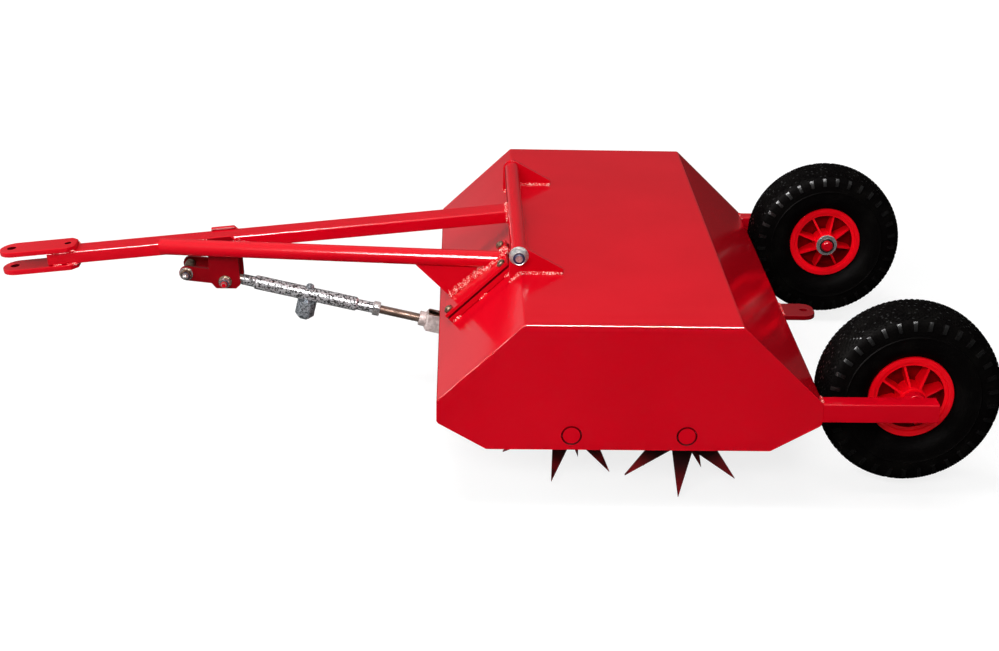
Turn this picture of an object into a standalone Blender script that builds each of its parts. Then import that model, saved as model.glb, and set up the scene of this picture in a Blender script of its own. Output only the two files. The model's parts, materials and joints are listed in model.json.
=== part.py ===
"""Tow-behind dethatcher: a steel hood over two star rollers, with a drawbar and two wheels.

Sizes are in metres. The machine is drawn with x = 0 at the hood's front face, y = 0 at
mid width and z = 0 at the hood's lower edge, and is then shifted so that the origin lies
under the middle of its bounding box, on the ground. -X is the towing direction.
"""
import math

import bmesh
import bpy
from mathutils import Matrix, Vector

for old in list(bpy.data.objects):
    bpy.data.objects.remove(old, do_unlink=True)

# Clearances
SEAT = 0.0003            # between pieces that are welded or bolted together
RUN = 0.0004             # radial gap of a turning fit

# Hood
HOOD_LENGTH = 0.528
HOOD_WIDTH = 0.820
HOOD_HEIGHT = 0.1836
STRIP_TOP = 0.0715
STRIP_BOTTOM = 0.0395
SLOPE_RUN = 0.117
CHAMFER_RUN = 0.0685
BEND_RADIUS = 0.006
SHEET = 0.003
END_PLATE = 0.004

# Star rollers
ROLLER_SPACING = 0.1584
ROLLER_HEIGHT = 0.0216
AXLE_RADIUS = 0.013
BUSH_WALL = 0.005
BUSH_LENGTH = 0.030
ROLLER_TUBE_WALL = 0.003
ROLLER_END_GAP = 0.001
STAR_TIP_RADIUS = 0.110
STAR_ROOT_RADIUS = 0.038
STAR_POINTS = 8
STAR_THICKNESS = 0.005
STAR_COUNT = 10
STAR_END_ROOM = 0.100    # the hood's width less the run of one roller's stars
REAR_FIRST_STAR = 0.032  # from the left side face to the first star
FRONT_FIRST_STAR = 0.074
FRONT_ROLLER_TURN = math.radians(-11.25)
REAR_ROLLER_TURN = math.radians(-1.5)

# Drawbar pivot
PIVOT_X = 0.114
PIVOT_ABOVE_TOP = 0.0269
EAR_INNER = 0.205
EAR_THICKNESS = 0.008
EAR_HEAD_RADIUS = 0.0138
EAR_REAR_REACH = 0.064
EAR_TIP_HEIGHT = 0.007
PIVOT_TUBE_RADIUS = 0.012
PIVOT_BOLT_RADIUS = 0.0065
PIVOT_NUT_FLATS = 0.022
PIVOT_NUT_HEIGHT = 0.011
PIVOT_WASHER_RADIUS = 0.014
WASHER_THICKNESS = 0.0025

# Drawbar
DRAWBAR_RISE = math.radians(6.41)
TUBE_WIDTH = 0.040
TUBE_HEIGHT = 0.020
TUBE_WALL = 0.002
TUBE_CORNER = 0.003
TUBE_DROP = 0.0065       # tube centre below the pivot axis
CLEVIS_REACH = 0.793     # from the pivot axis to the clevis plates' front
TUBE_FRONT_INSET = 0.0745
CLEVIS_LENGTH = 0.119
CLEVIS_WIDTH = 0.048
CLEVIS_THICKNESS = 0.008
CLEVIS_TAPER = 0.010
HITCH_HOLE_RADIUS = 0.0068
HITCH_HOLE_INSET = 0.0185
SPARE_HOLE_RADIUS = 0.005
SPARE_HOLE_INSET = 0.0135

# Stop plates on the front slope, measured up the slope from the front strip
STOP_LOW = 0.028
STOP_LENGTH = 0.1225
STOP_CENTRE_Y = -0.129
STOP_WIDTH = 0.098
STOP_PLATE_THICKNESS = 0.0095
STOP_STANDOFF = 0.0015
FLANGE_THICKNESS = 0.005
STOP_BOLT_RADIUS = 0.004
STOP_BOLT_FLATS = 0.013
STOP_BOLT_HEAD = 0.0055
STOP_BOLT_INSET = 0.009

# Brace and its gusset
BRACE_RADIUS = 0.0125
BRACE_WALL = 0.002
BRACE_FRONT = 0.5415     # from the pivot axis to the brace's front end
BRACE_FRONT_Y = -0.026
BRACE_FRONT_LIFT = 0.0073
BRACE_REAR_SLOPE_PLACE = 0.131
GUSSET_THICKNESS = 0.005
GUSSET_REACH = 0.0355    # ahead of the hood's front face
GUSSET_FOOT = 0.016      # behind the hood's front face

# Bracket under the drawbar
BRACKET_THICKNESS = 0.006
LINK_PIN_X = -0.330
LINK_PIN_Z = 0.0945
BRACKET_FOOT_Z = 0.083
BRACKET_FOOT_FRONT = -0.344
BRACKET_FOOT_REAR = -0.3135
BRACKET_FOOT_BEVEL = 0.007
BRACKET_TOP_BEVEL = 0.009
BRACKET_NOSE_X = -0.3885
BRACKET_NOSE_Z = 0.1070
BRACKET_NOSE_RADIUS = 0.0115
BRACKET_FRONT_EDGE = -0.3546
BRACKET_REAR_EDGE = -0.3105
BRACKET_NOTCH_Z = 0.1150
BRACKET_STAND_ABOVE_TUBE = 0.0035
BRACKET_BOLT_RADIUS = 0.005
BRACKET_BOLT_FLATS = 0.017
BRACKET_BOLT_HEAD = 0.0065
BRACKET_NUT_HEIGHT = 0.010
BRACKET_BOLT_OUT = 0.007
SPACER_RADIUS = 0.008

# Top link
FORK_PIN_X = 0.012
FORK_PIN_Z = 0.0175
ROD_RADIUS = 0.007
NECK_RADIUS = 0.0085
SLEEVE_RADIUS = 0.0110
SLEEVE_BORE_RADIUS = 0.0076
NECK_TAPER = 0.003
REAR_NECK_LENGTH = 0.0245
FRONT_NECK_LENGTH = 0.0190
SLEEVE_START = 0.1197    # from the fork pin along the link to the rear neck
SLEEVE_LENGTH = 0.2073
LOCK_NUT_FLATS = 0.021
LOCK_NUT_HEIGHT = 0.0105
FORK_WIDTH = 0.028
FORK_SLOT = 0.0114
FORK_SLOT_DEPTH = 0.027
FORK_SHOULDER = 0.036
FORK_LENGTH = 0.046
FORK_OVERLAP = 0.002
FORK_COLLAR_RADIUS = 0.0115
FORK_PIN_RADIUS = 0.0065
FORK_PIN_HEAD_RADIUS = 0.010
FORK_PIN_HEAD_HEIGHT = 0.003
FORK_PIN_ROOM = 0.001
FORK_PIN_OUT = 0.005
ROD_IN_SLEEVE = 0.060
EYE_ROD_IN_SLEEVE = 0.080
EYE_RADIUS = 0.0115
EYE_CLEARANCE = 0.0022   # the open pivot of the linkage
EYE_SIDE_GAP = 0.0010
KNOB_PLACE = 0.2220      # from the fork pin along the link
KNOB_WIDTH = 0.030
KNOB_HEIGHT = 0.029
KNOB_DROP = 0.0118
CROSS_PIN_RADIUS = 0.0060
CROSS_PIN_DOME = 0.0050

# Lugs
LUG_THICKNESS = 0.010
LUG_RADIUS = 0.0125
LUG_ALONG_SLOPE = 0.045
LUG_NECK = 0.030
HITCH_LUG_Y = -0.057
HITCH_LUG_WIDTH = 0.052
HITCH_LUG_REACH = 0.050
HITCH_LUG_THICKNESS = 0.008
HITCH_LUG_TOP = 0.0710
HITCH_LUG_HOLE_RADIUS = 0.006
HITCH_LUG_HOLE_INSET = 0.016
HITCH_LUG_CORNER = 0.019

# Wheels
WHEEL_FROM_ARM_END = 0.0247
WHEEL_HEIGHT = 0.0568
WHEEL_INSET = 0.0857     # from a side face to the middle of its wheel
TYRE_RADIUS = 0.130
TYRE_HALF_WIDTH = 0.0425
RIM_FLANGE_RADIUS = 0.0607
RIM_BARREL_RADIUS = 0.0508
RIM_HALF_WIDTH = 0.0273
RIM_WALL = 0.004
HUB_RADIUS = 0.0190
HUB_HALF_LENGTH = 0.040
WEB_HALF = 0.0025
RIB_COUNT = 8
RIB_THICKNESS = 0.0036
RIB_TURN = 0.35          # of one rib's share of the circle
STUB_RADIUS = 0.010
SLEEVE_BUSH_RADIUS = 0.0135
HUB_BUSH_LENGTH = 0.025
STUB_COLLAR_RADIUS = 0.0165
HUB_WASHER_RADIUS = 0.0180
RETAINER_RADIUS = 0.0140
RETAINER_THICKNESS = 0.003
STUB_TIP = 0.005
ARM_SIZE = 0.028
ARM_WALL = 0.0025
ARM_TOP = 0.0714
ARM_REACH = 0.160

TYRE_ROUND = 32
ROUND = 24
SMALL_ROUND = 16
TINY_ROUND = 12

DRAWBAR_PIECES = (
    "pivot_tube", "drawbar_tube", "drawbar_brace", "brace_gusset", "stop_flange",
    "stop_bolt_1", "stop_bolt_2", "stop_bolt_3", "stop_bolt_4", "clevis_plate_upper",
    "clevis_plate_lower", "bracket_plate_left", "bracket_plate_right", "bracket_front_bolt",
    "bracket_front_nut", "bracket_rear_bolt", "bracket_rear_nut", "bracket_spacer",
)

# Values that follow from the sizes above
SIDE_FACE = HOOD_WIDTH / 2
PLATE_INNER = SIDE_FACE - END_PLATE
FRONT_AXLE_X = HOOD_LENGTH / 2 - ROLLER_SPACING / 2
REAR_AXLE_X = HOOD_LENGTH / 2 + ROLLER_SPACING / 2
PIVOT_Z = HOOD_HEIGHT + PIVOT_ABOVE_TOP
WHEEL_X = HOOD_LENGTH + ARM_REACH - WHEEL_FROM_ARM_END
WHEEL_Y = SIDE_FACE - WHEEL_INSET
STAR_PITCH = (HOOD_WIDTH - STAR_END_ROOM) / (STAR_COUNT - 1)
TUBE_FRONT = CLEVIS_REACH - TUBE_FRONT_INSET
CLEVIS_TAIL = CLEVIS_REACH - CLEVIS_LENGTH
BUSH_RADIUS = AXLE_RADIUS + RUN + BUSH_WALL
SLOPE = Vector((SLOPE_RUN, 0, HOOD_HEIGHT - STRIP_TOP)).normalized()
SLOPE_NORMAL = Vector((-SLOPE.z, 0, SLOPE.x))
ALONG = Vector((math.cos(DRAWBAR_RISE), 0, math.sin(DRAWBAR_RISE)))
ABOVE = Vector((-ALONG.z, 0, ALONG.x))
TUBE_ORIGIN = Vector((PIVOT_X, 0, PIVOT_Z - TUBE_DROP))
FORK_PIN = Vector((FORK_PIN_X, 0, FORK_PIN_Z))
LINK_PIN = Vector((LINK_PIN_X, 0, LINK_PIN_Z))
LINK = (LINK_PIN - FORK_PIN).normalized()
LINK_LENGTH = (LINK_PIN - FORK_PIN).length
BRACKET_INNER = TUBE_WIDTH / 2 + SEAT
BRACKET_OUTER = BRACKET_INNER + BRACKET_THICKNESS
FLANGE_FOOT = SEAT + STOP_PLATE_THICKNESS + STOP_STANDOFF
FLANGE_TOP = FLANGE_FOOT + FLANGE_THICKNESS

front_reach = TUBE_ORIGIN.x - CLEVIS_REACH * ALONG.x
front_reach -= (TUBE_HEIGHT / 2 + SEAT + CLEVIS_THICKNESS) * ALONG.z
rear_reach = WHEEL_X + TYRE_RADIUS
lowest_star = ROLLER_HEIGHT - STAR_TIP_RADIUS * math.cos(REAR_ROLLER_TURN)
ORIGIN = Vector(((front_reach + rear_reach) / 2, 0, min(lowest_star, WHEEL_HEIGHT - TYRE_RADIUS)))


# Materials
def make_material(name, colour, roughness, metallic):
    """A Principled material with one colour."""
    material = bpy.data.materials.new(name)
    material.use_nodes = True
    shader = material.node_tree.nodes["Principled BSDF"]
    shader.inputs["Base Color"].default_value = (*colour, 1)
    shader.inputs["Roughness"].default_value = roughness
    shader.inputs["Metallic"].default_value = metallic
    return material


ENAMEL = make_material("red_enamel", (0.58, 0.012, 0.020), 0.28, 0.0)
TINE_PAINT = make_material("tine_enamel", (0.40, 0.010, 0.014), 0.35, 0.0)
RIM_PLASTIC = make_material("rim_plastic", (0.72, 0.010, 0.020), 0.35, 0.0)
RUBBER = make_material("tyre_rubber", (0.012, 0.012, 0.013), 0.75, 0.0)
ZINC = make_material("bright_zinc", (0.62, 0.62, 0.60), 0.30, 1.0)
GALVANISED = make_material("galvanised_steel", (0.45, 0.46, 0.46), 0.45, 1.0)
BARE = make_material("bare_rod", (0.36, 0.31, 0.27), 0.40, 1.0)
NYLON = make_material("bush_nylon", (0.75, 0.73, 0.66), 0.50, 0.0)


# Outlines, as lists of points in a plane
def ring(u, v, radius, count, turn=0.0):
    """Points of a circle or regular polygon around (u, v)."""
    steps = [turn + 2 * math.pi * i / count for i in range(count)]
    return [(u + radius * math.cos(a), v + radius * math.sin(a)) for a in steps]


def rectangle(half_u, half_v):
    """A rectangle's corners around the origin."""
    return [(-half_u, -half_v), (half_u, -half_v), (half_u, half_v), (-half_u, half_v)]


def arc(u, v, radius, start, end, count):
    """Points along an arc from one angle in degrees to another."""
    angles = [math.radians(start + (end - start) * i / count) for i in range(count + 1)]
    return [(u + radius * math.cos(a), v + radius * math.sin(a)) for a in angles]


def rounded(corners, radius, count=4, closed=True):
    """The outline through the corners, with each corner rounded by an arc."""
    points = []
    total = len(corners)
    for index, corner in enumerate(corners):
        if not closed and index in (0, total - 1):
            points.append(tuple(corner))
            continue
        here = Vector(corner)
        back = (Vector(corners[index - 1]) - here).normalized()
        ahead = (Vector(corners[(index + 1) % total]) - here).normalized()
        half = back.angle(ahead) / 2
        centre = here + (back + ahead).normalized() * radius / math.sin(half)
        start = here + back * radius / math.tan(half) - centre
        end = here + ahead * radius / math.tan(half) - centre
        sweep = start.angle_signed(end)
        for step in range(count + 1):
            turned = Matrix.Rotation(-sweep * step / count, 2) @ start
            points.append(tuple(centre + turned))
    return points


def offset_path(corners, distance):
    """The corners of an open path, moved sideways by the distance with mitred bends."""
    points = [Vector(corner) for corner in corners]
    moved = []
    for index, point in enumerate(points):
        before = points[max(index - 1, 0)]
        after = points[min(index + 1, len(points) - 1)]
        first = (point - before) if index else (after - point)
        second = (after - point) if index < len(points) - 1 else first
        normal_a = Vector((-first.y, first.x)).normalized()
        normal_b = Vector((-second.y, second.x)).normalized()
        mitre = (normal_a + normal_b).normalized()
        moved.append(tuple(point + mitre * distance / mitre.dot(normal_a)))
    return moved


# Frames: a matrix whose columns are the two directions of an outline and its normal
def frame(origin, u, v):
    """The matrix that lays an outline's u and v along two directions from an origin."""
    u = Vector(u).normalized()
    v = Vector(v).normalized()
    w = u.cross(v)
    return Matrix.Translation(origin) @ Matrix((u, v, w)).transposed().to_4x4()


SIDE_VIEW = frame((0, 0, 0), (0, 0, 1), (1, 0, 0))       # u = z, v = x, w = +y
SLOPE_FRAME = frame((0, 0, STRIP_TOP), SLOPE, (0, 1, 0))
TUBE_FRAME = frame(TUBE_ORIGIN, ALONG, (0, 1, 0))
GROUND_FRAME = frame((0, 0, 0), (1, 0, 0), (0, 1, 0))


def upright(points):
    """An outline given as (x, z), turned to SIDE_VIEW's (z, x)."""
    return [(z, x) for x, z in points]


# Solids
def finish(bm, name, material, origin, smooth=True):
    """Store a bmesh drawn in machine space as an object whose origin is the given point."""
    bmesh.ops.remove_doubles(bm, verts=bm.verts, dist=0.000001)
    bmesh.ops.recalc_face_normals(bm, faces=bm.faces)
    origin = Vector(origin)
    bmesh.ops.translate(bm, verts=bm.verts, vec=-origin)
    mesh = bpy.data.meshes.new(name)
    bm.to_mesh(mesh)
    bm.free()
    if material:
        mesh.materials.append(material)
    if smooth:
        mesh.shade_smooth()
        mesh.set_sharp_from_angle(angle=math.radians(35))
    item = bpy.data.objects.new(name, mesh)
    item.location = origin - ORIGIN
    bpy.context.scene.collection.objects.link(item)
    return item


def add_slab(bm, outline, holes, base, height):
    """Add a flat plate with holes: the outline lies in the base frame, w runs through it."""
    edges = []
    for loop in [outline, *holes]:
        verts = [bm.verts.new(base @ Vector((u, v, 0))) for u, v in loop]
        edges += [bm.edges.new((verts[i - 1], verts[i])) for i in range(len(verts))]
    face_normal = base.to_3x3() @ Vector((0, 0, 1))
    filled = bmesh.ops.triangle_fill(bm, use_beauty=True, edges=edges, normal=face_normal)
    faces = [item for item in filled["geom"] if isinstance(item, bmesh.types.BMFace)]
    extruded = bmesh.ops.extrude_face_region(bm, geom=faces, use_keep_orig=True)
    moved = [item for item in extruded["geom"] if isinstance(item, bmesh.types.BMVert)]
    bmesh.ops.translate(bm, verts=moved, vec=face_normal * height)


def slab(name, material, outline, base, low, high, holes=(), origin=None):
    """A plate from w = low to w = high in the base frame."""
    bm = bmesh.new()
    lifted = base @ Matrix.Translation((0, 0, low))
    add_slab(bm, outline, holes, lifted, high - low)
    centre = lifted @ Vector((*outline[0], 0)) if origin is None else origin
    return finish(bm, name, material, centre)


def add_lathe(bm, profile, centre, axis, count):
    """Add a turned shape: the profile is (radius, distance along the axis), a closed loop."""
    axis = Vector(axis).normalized()
    across = Vector((0, 0, 1)) if abs(axis.z) < 0.9 else Vector((1, 0, 0))
    across = (across - axis * across.dot(axis)).normalized()
    centre = Vector(centre)
    verts = [bm.verts.new(centre + across * r + axis * d) for r, d in profile]
    edges = [bm.edges.new((verts[i - 1], verts[i])) for i in range(len(verts))]
    bmesh.ops.spin(bm, geom=verts + edges, cent=centre, axis=axis, dvec=(0, 0, 0),
                   angle=2 * math.pi, steps=count, use_merge=True, use_duplicate=False)


def lathe(name, material, profile, centre, axis, count=ROUND, origin=None):
    """A turned solid around an axis through the centre."""
    bm = bmesh.new()
    add_lathe(bm, profile, centre, axis, count)
    bmesh.ops.remove_doubles(bm, verts=bm.verts, dist=0.000001)
    bmesh.ops.dissolve_degenerate(bm, dist=0.0000005, edges=bm.edges)
    lone = [vert for vert in bm.verts if not vert.link_faces]
    bmesh.ops.delete(bm, geom=lone, context="VERTS")
    return finish(bm, name, material, centre if origin is None else origin)


def pipe_profile(outer, inner, start, end):
    """The section of a pipe, or of a solid bar where inner is 0."""
    return [(inner, start), (outer, start), (outer, end), (inner, end)]


def boolean(target, tool, operation):
    """Keep a live Boolean on the target; the tool object is only a guide."""
    modifier = target.modifiers.new(operation.lower(), "BOOLEAN")
    modifier.operation = operation
    modifier.solver = "EXACT"
    modifier.object = tool
    tool.hide_render = True
    tool.display_type = "WIRE"


def hex_ring(flats, turn=0.0):
    """A hexagon by its width across flats."""
    return ring(0, 0, flats / math.sqrt(3), 6, turn)


# Hood
def hood_corners():
    """The folded sheet's outer corners as (x, z), front to rear."""
    return [
        (0, STRIP_BOTTOM),
        (0, STRIP_TOP),
        (SLOPE_RUN, HOOD_HEIGHT),
        (HOOD_LENGTH - SLOPE_RUN, HOOD_HEIGHT),
        (HOOD_LENGTH, STRIP_TOP),
        (HOOD_LENGTH, STRIP_BOTTOM),
    ]


def build_hood():
    """The folded sheet and the two end plates that close its sides."""
    corners = hood_corners()
    outer = rounded(corners, BEND_RADIUS, 3, closed=False)
    inner = rounded(offset_path(corners, -SHEET), BEND_RADIUS - SHEET, 3, closed=False)
    section = outer + inner[::-1]
    half = PLATE_INNER - SEAT
    slab("hood_sheet", ENAMEL, upright(section), SIDE_VIEW, -half, half)

    lower = [(HOOD_LENGTH - CHAMFER_RUN, 0), (CHAMFER_RUN, 0)]
    plate = rounded(corners + lower, BEND_RADIUS, 3)
    bores = [ring(ROLLER_HEIGHT, x, AXLE_RADIUS + SEAT, ROUND) for x in (FRONT_AXLE_X, REAR_AXLE_X)]
    for side, low in (("left", -SIDE_FACE), ("right", PLATE_INNER)):
        slab(f"end_plate_{side}", ENAMEL, upright(plate), SIDE_VIEW, low, low + END_PLATE, bores)


def star_outline(turn):
    """One flat star as (x, z) around its centre, with a point straight down at turn 0."""
    points = []
    for index in range(2 * STAR_POINTS):
        angle = turn + math.pi * index / STAR_POINTS
        radius = STAR_ROOT_RADIUS if index % 2 else STAR_TIP_RADIUS
        points.append((radius * math.sin(angle), -radius * math.cos(angle)))
    return points


def build_roller(name, x, first, turn):
    """A fixed axle, two bushes and a tube with stars welded on it."""
    centre = Vector((x, 0, ROLLER_HEIGHT))
    lathe(f"{name}_axle", ENAMEL, pipe_profile(AXLE_RADIUS, 0, -SIDE_FACE, SIDE_FACE), centre, (0, 1, 0))

    tube_half = PLATE_INNER - ROLLER_END_GAP
    tube_bore = BUSH_RADIUS + SEAT
    profile = pipe_profile(tube_bore + ROLLER_TUBE_WALL, tube_bore, -tube_half, tube_half)
    roller = lathe(f"{name}_star_roller", TINE_PAINT, profile, centre, (0, 1, 0))

    bm = bmesh.new()
    collar = ring(0, 0, tube_bore + ROLLER_TUBE_WALL / 2, ROUND)
    for index in range(STAR_COUNT):
        half_pitch = math.pi / STAR_POINTS * (index % 2)
        outline = upright(star_outline(turn + half_pitch))
        place = Vector((x, first + STAR_PITCH * index - STAR_THICKNESS / 2, ROLLER_HEIGHT))
        base = Matrix.Translation(place) @ SIDE_VIEW
        add_slab(bm, outline, [collar], base, STAR_THICKNESS)
    stars = finish(bm, f"{name}_stars", TINE_PAINT, centre, smooth=False)
    boolean(roller, stars, "UNION")

    for side, start in (("left", -tube_half), ("right", tube_half - BUSH_LENGTH)):
        profile = pipe_profile(BUSH_RADIUS, AXLE_RADIUS + RUN, start, start + BUSH_LENGTH)
        lathe(f"{name}_bush_{side}", NYLON, profile, centre, (0, 1, 0))


# Drawbar pivot
def ear_outline():
    """An ear as (x, z): a round head over the pivot and a foot along slope and top."""
    lift = SEAT / SLOPE.x
    front_x = PIVOT_X - EAR_HEAD_RADIUS
    slope_z = STRIP_TOP + front_x * SLOPE.z / SLOPE.x + lift
    foot_z = HOOD_HEIGHT + SEAT
    bend_x = SLOPE_RUN - lift * SLOPE.x / SLOPE.z + SEAT * SLOPE.x / SLOPE.z
    tip = Vector((PIVOT_X + EAR_REAR_REACH, foot_z + EAR_TIP_HEIGHT))
    reach = tip - Vector((PIVOT_X, PIVOT_Z))
    bearing = math.degrees(math.atan2(reach.y, reach.x))
    spread = math.degrees(math.acos(EAR_HEAD_RADIUS / reach.length))
    head = arc(PIVOT_X, PIVOT_Z, EAR_HEAD_RADIUS, bearing + spread, 180, 8)
    return [(tip.x, foot_z), tuple(tip), *head, (front_x, slope_z), (bend_x, foot_z)]


def build_pivot():
    """Two ears welded to the hood, and the bolt through them that the drawbar swings on."""
    bolt_hole = ring(PIVOT_Z, PIVOT_X, PIVOT_BOLT_RADIUS + SEAT, SMALL_ROUND)
    pivot = Vector((PIVOT_X, 0, PIVOT_Z))
    ear_outer = EAR_INNER + EAR_THICKNESS
    for side, low in (("left", -ear_outer), ("right", EAR_INNER)):
        slab(f"pivot_ear_{side}", ENAMEL, upright(ear_outline()), SIDE_VIEW, low,
             low + EAR_THICKNESS, [bolt_hole])

    nut_face = -ear_outer - SEAT - WASHER_THICKNESS - SEAT
    bolt_end = nut_face - PIVOT_NUT_HEIGHT - 0.001
    head_face = ear_outer + SEAT
    head_height = 0.6 * PIVOT_NUT_HEIGHT
    head_radius = PIVOT_NUT_FLATS / 2
    profile = [
        (0, bolt_end),
        (PIVOT_BOLT_RADIUS, bolt_end),
        (PIVOT_BOLT_RADIUS, head_face),
        (head_radius, head_face),
        (head_radius, head_face + head_height),
        (0, head_face + head_height),
    ]
    lathe("pivot_bolt", ZINC, profile, pivot, (0, 1, 0), SMALL_ROUND)
    washer_low = -ear_outer - SEAT - WASHER_THICKNESS
    washer_high = washer_low + WASHER_THICKNESS
    profile = pipe_profile(PIVOT_WASHER_RADIUS, PIVOT_BOLT_RADIUS + SEAT, washer_low, washer_high)
    lathe("pivot_washer", ZINC, profile, pivot, (0, 1, 0), SMALL_ROUND)
    base = Matrix.Translation(pivot) @ SIDE_VIEW
    bore = ring(0, 0, PIVOT_BOLT_RADIUS + SEAT, SMALL_ROUND)
    slab("pivot_nut", ZINC, hex_ring(PIVOT_NUT_FLATS), base, nut_face - PIVOT_NUT_HEIGHT, nut_face, [bore])

    half = EAR_INNER - RUN
    profile = pipe_profile(PIVOT_TUBE_RADIUS, PIVOT_BOLT_RADIUS + RUN, -half, half)
    lathe("pivot_tube", ENAMEL, profile, pivot, (0, 1, 0))


# Drawbar
def build_drawbar_tube():
    """The rectangular tube from the clevis to the pivot tube, hollow and coped at the rear."""
    half_w = TUBE_WIDTH / 2
    half_h = TUBE_HEIGHT / 2
    base = frame(TUBE_ORIGIN, (0, 1, 0), ABOVE)
    outer = rounded(rectangle(half_w, half_h), TUBE_CORNER, 2)
    inner = rectangle(half_w - TUBE_WALL, half_h - TUBE_WALL)
    direction = base.to_3x3() @ Vector((0, 0, 1))
    sign = 1 if direction.dot(ALONG) > 0 else -1
    ends = sorted((-sign * TUBE_FRONT, -sign * PIVOT_TUBE_RADIUS / 3))
    tube = slab("drawbar_tube", ENAMEL, outer, base, ends[0], ends[1], [inner])
    reach = PIVOT_TUBE_RADIUS + SEAT
    profile = pipe_profile(reach, 0, -TUBE_WIDTH, TUBE_WIDTH)
    cope = lathe("cope_for_pivot_tube", None, profile, (PIVOT_X, 0, PIVOT_Z), (0, 1, 0))
    boolean(tube, cope, "DIFFERENCE")


def build_clevis():
    """Two flat plates above and below the tube's front end, with the hitch pin's hole."""
    half = CLEVIS_WIDTH / 2
    nose = arc(-CLEVIS_REACH + half, 0, half, 90, 270, 12)
    outline = nose + [
        (-CLEVIS_TAIL - CLEVIS_TAPER, -half),
        (-CLEVIS_TAIL, -half + CLEVIS_TAPER),
        (-CLEVIS_TAIL, half - CLEVIS_TAPER),
        (-CLEVIS_TAIL - CLEVIS_TAPER, half),
    ]
    holes = [
        ring(-CLEVIS_REACH + HITCH_HOLE_INSET, 0, HITCH_HOLE_RADIUS, SMALL_ROUND),
        ring(-CLEVIS_TAIL - SPARE_HOLE_INSET, 0, SPARE_HOLE_RADIUS, TINY_ROUND),
    ]
    face = TUBE_HEIGHT / 2 + SEAT
    slab("clevis_plate_upper", ENAMEL, outline, TUBE_FRAME, face, face + CLEVIS_THICKNESS, holes)
    slab("clevis_plate_lower", ENAMEL, outline, TUBE_FRAME, -face - CLEVIS_THICKNESS, -face, holes)


def stop_corners():
    """The stop plates' outline in the slope's frame."""
    low_y = STOP_CENTRE_Y - STOP_WIDTH / 2
    high_y = STOP_CENTRE_Y + STOP_WIDTH / 2
    high = STOP_LOW + STOP_LENGTH
    return [(STOP_LOW, low_y), (high, low_y), (high, high_y), (STOP_LOW, high_y)]


def build_stop():
    """The plate on the slope, the drawbar's flange over it and the flange's four bolts."""
    slab("stop_plate", ENAMEL, stop_corners(), SLOPE_FRAME, SEAT, SEAT + STOP_PLATE_THICKNESS)
    reach_u = STOP_LENGTH / 2 - STOP_BOLT_INSET
    reach_v = STOP_WIDTH / 2 - STOP_BOLT_INSET
    middle = STOP_LOW + STOP_LENGTH / 2
    places = [(middle + a * reach_u, STOP_CENTRE_Y + b * reach_v) for a in (-1, 1) for b in (-1, 1)]
    holes = [ring(u, v, STOP_BOLT_RADIUS + SEAT, TINY_ROUND) for u, v in places]
    slab("stop_flange", ENAMEL, stop_corners(), SLOPE_FRAME, FLANGE_FOOT, FLANGE_TOP, holes)
    tip = SEAT + STOP_PLATE_THICKNESS + SEAT
    head = FLANGE_TOP + SEAT
    profile = [
        (0, tip),
        (STOP_BOLT_RADIUS, tip),
        (STOP_BOLT_RADIUS, head),
        (STOP_BOLT_FLATS / 2, head),
        (STOP_BOLT_FLATS / 2, head + STOP_BOLT_HEAD),
        (0, head + STOP_BOLT_HEAD),
    ]
    for index, (u, v) in enumerate(places):
        foot = SLOPE_FRAME @ Vector((u, v, 0))
        lathe(f"stop_bolt_{index + 1}", ZINC, profile, foot, SLOPE_NORMAL, TINY_ROUND)


def brace_ends():
    """The brace's centre line, from beside the tube to the flange."""
    front = TUBE_ORIGIN - ALONG * BRACE_FRONT + ABOVE * BRACE_FRONT_LIFT
    front.y = BRACE_FRONT_Y
    rear = SLOPE_FRAME @ Vector((BRACE_REAR_SLOPE_PLACE, STOP_CENTRE_Y, FLANGE_TOP))
    return front, rear


def half_space(name, base, low, high, size):
    """A large guide block between w = low and w = high of a frame."""
    return slab(name, None, rectangle(size, size), base, low, high)


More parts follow.
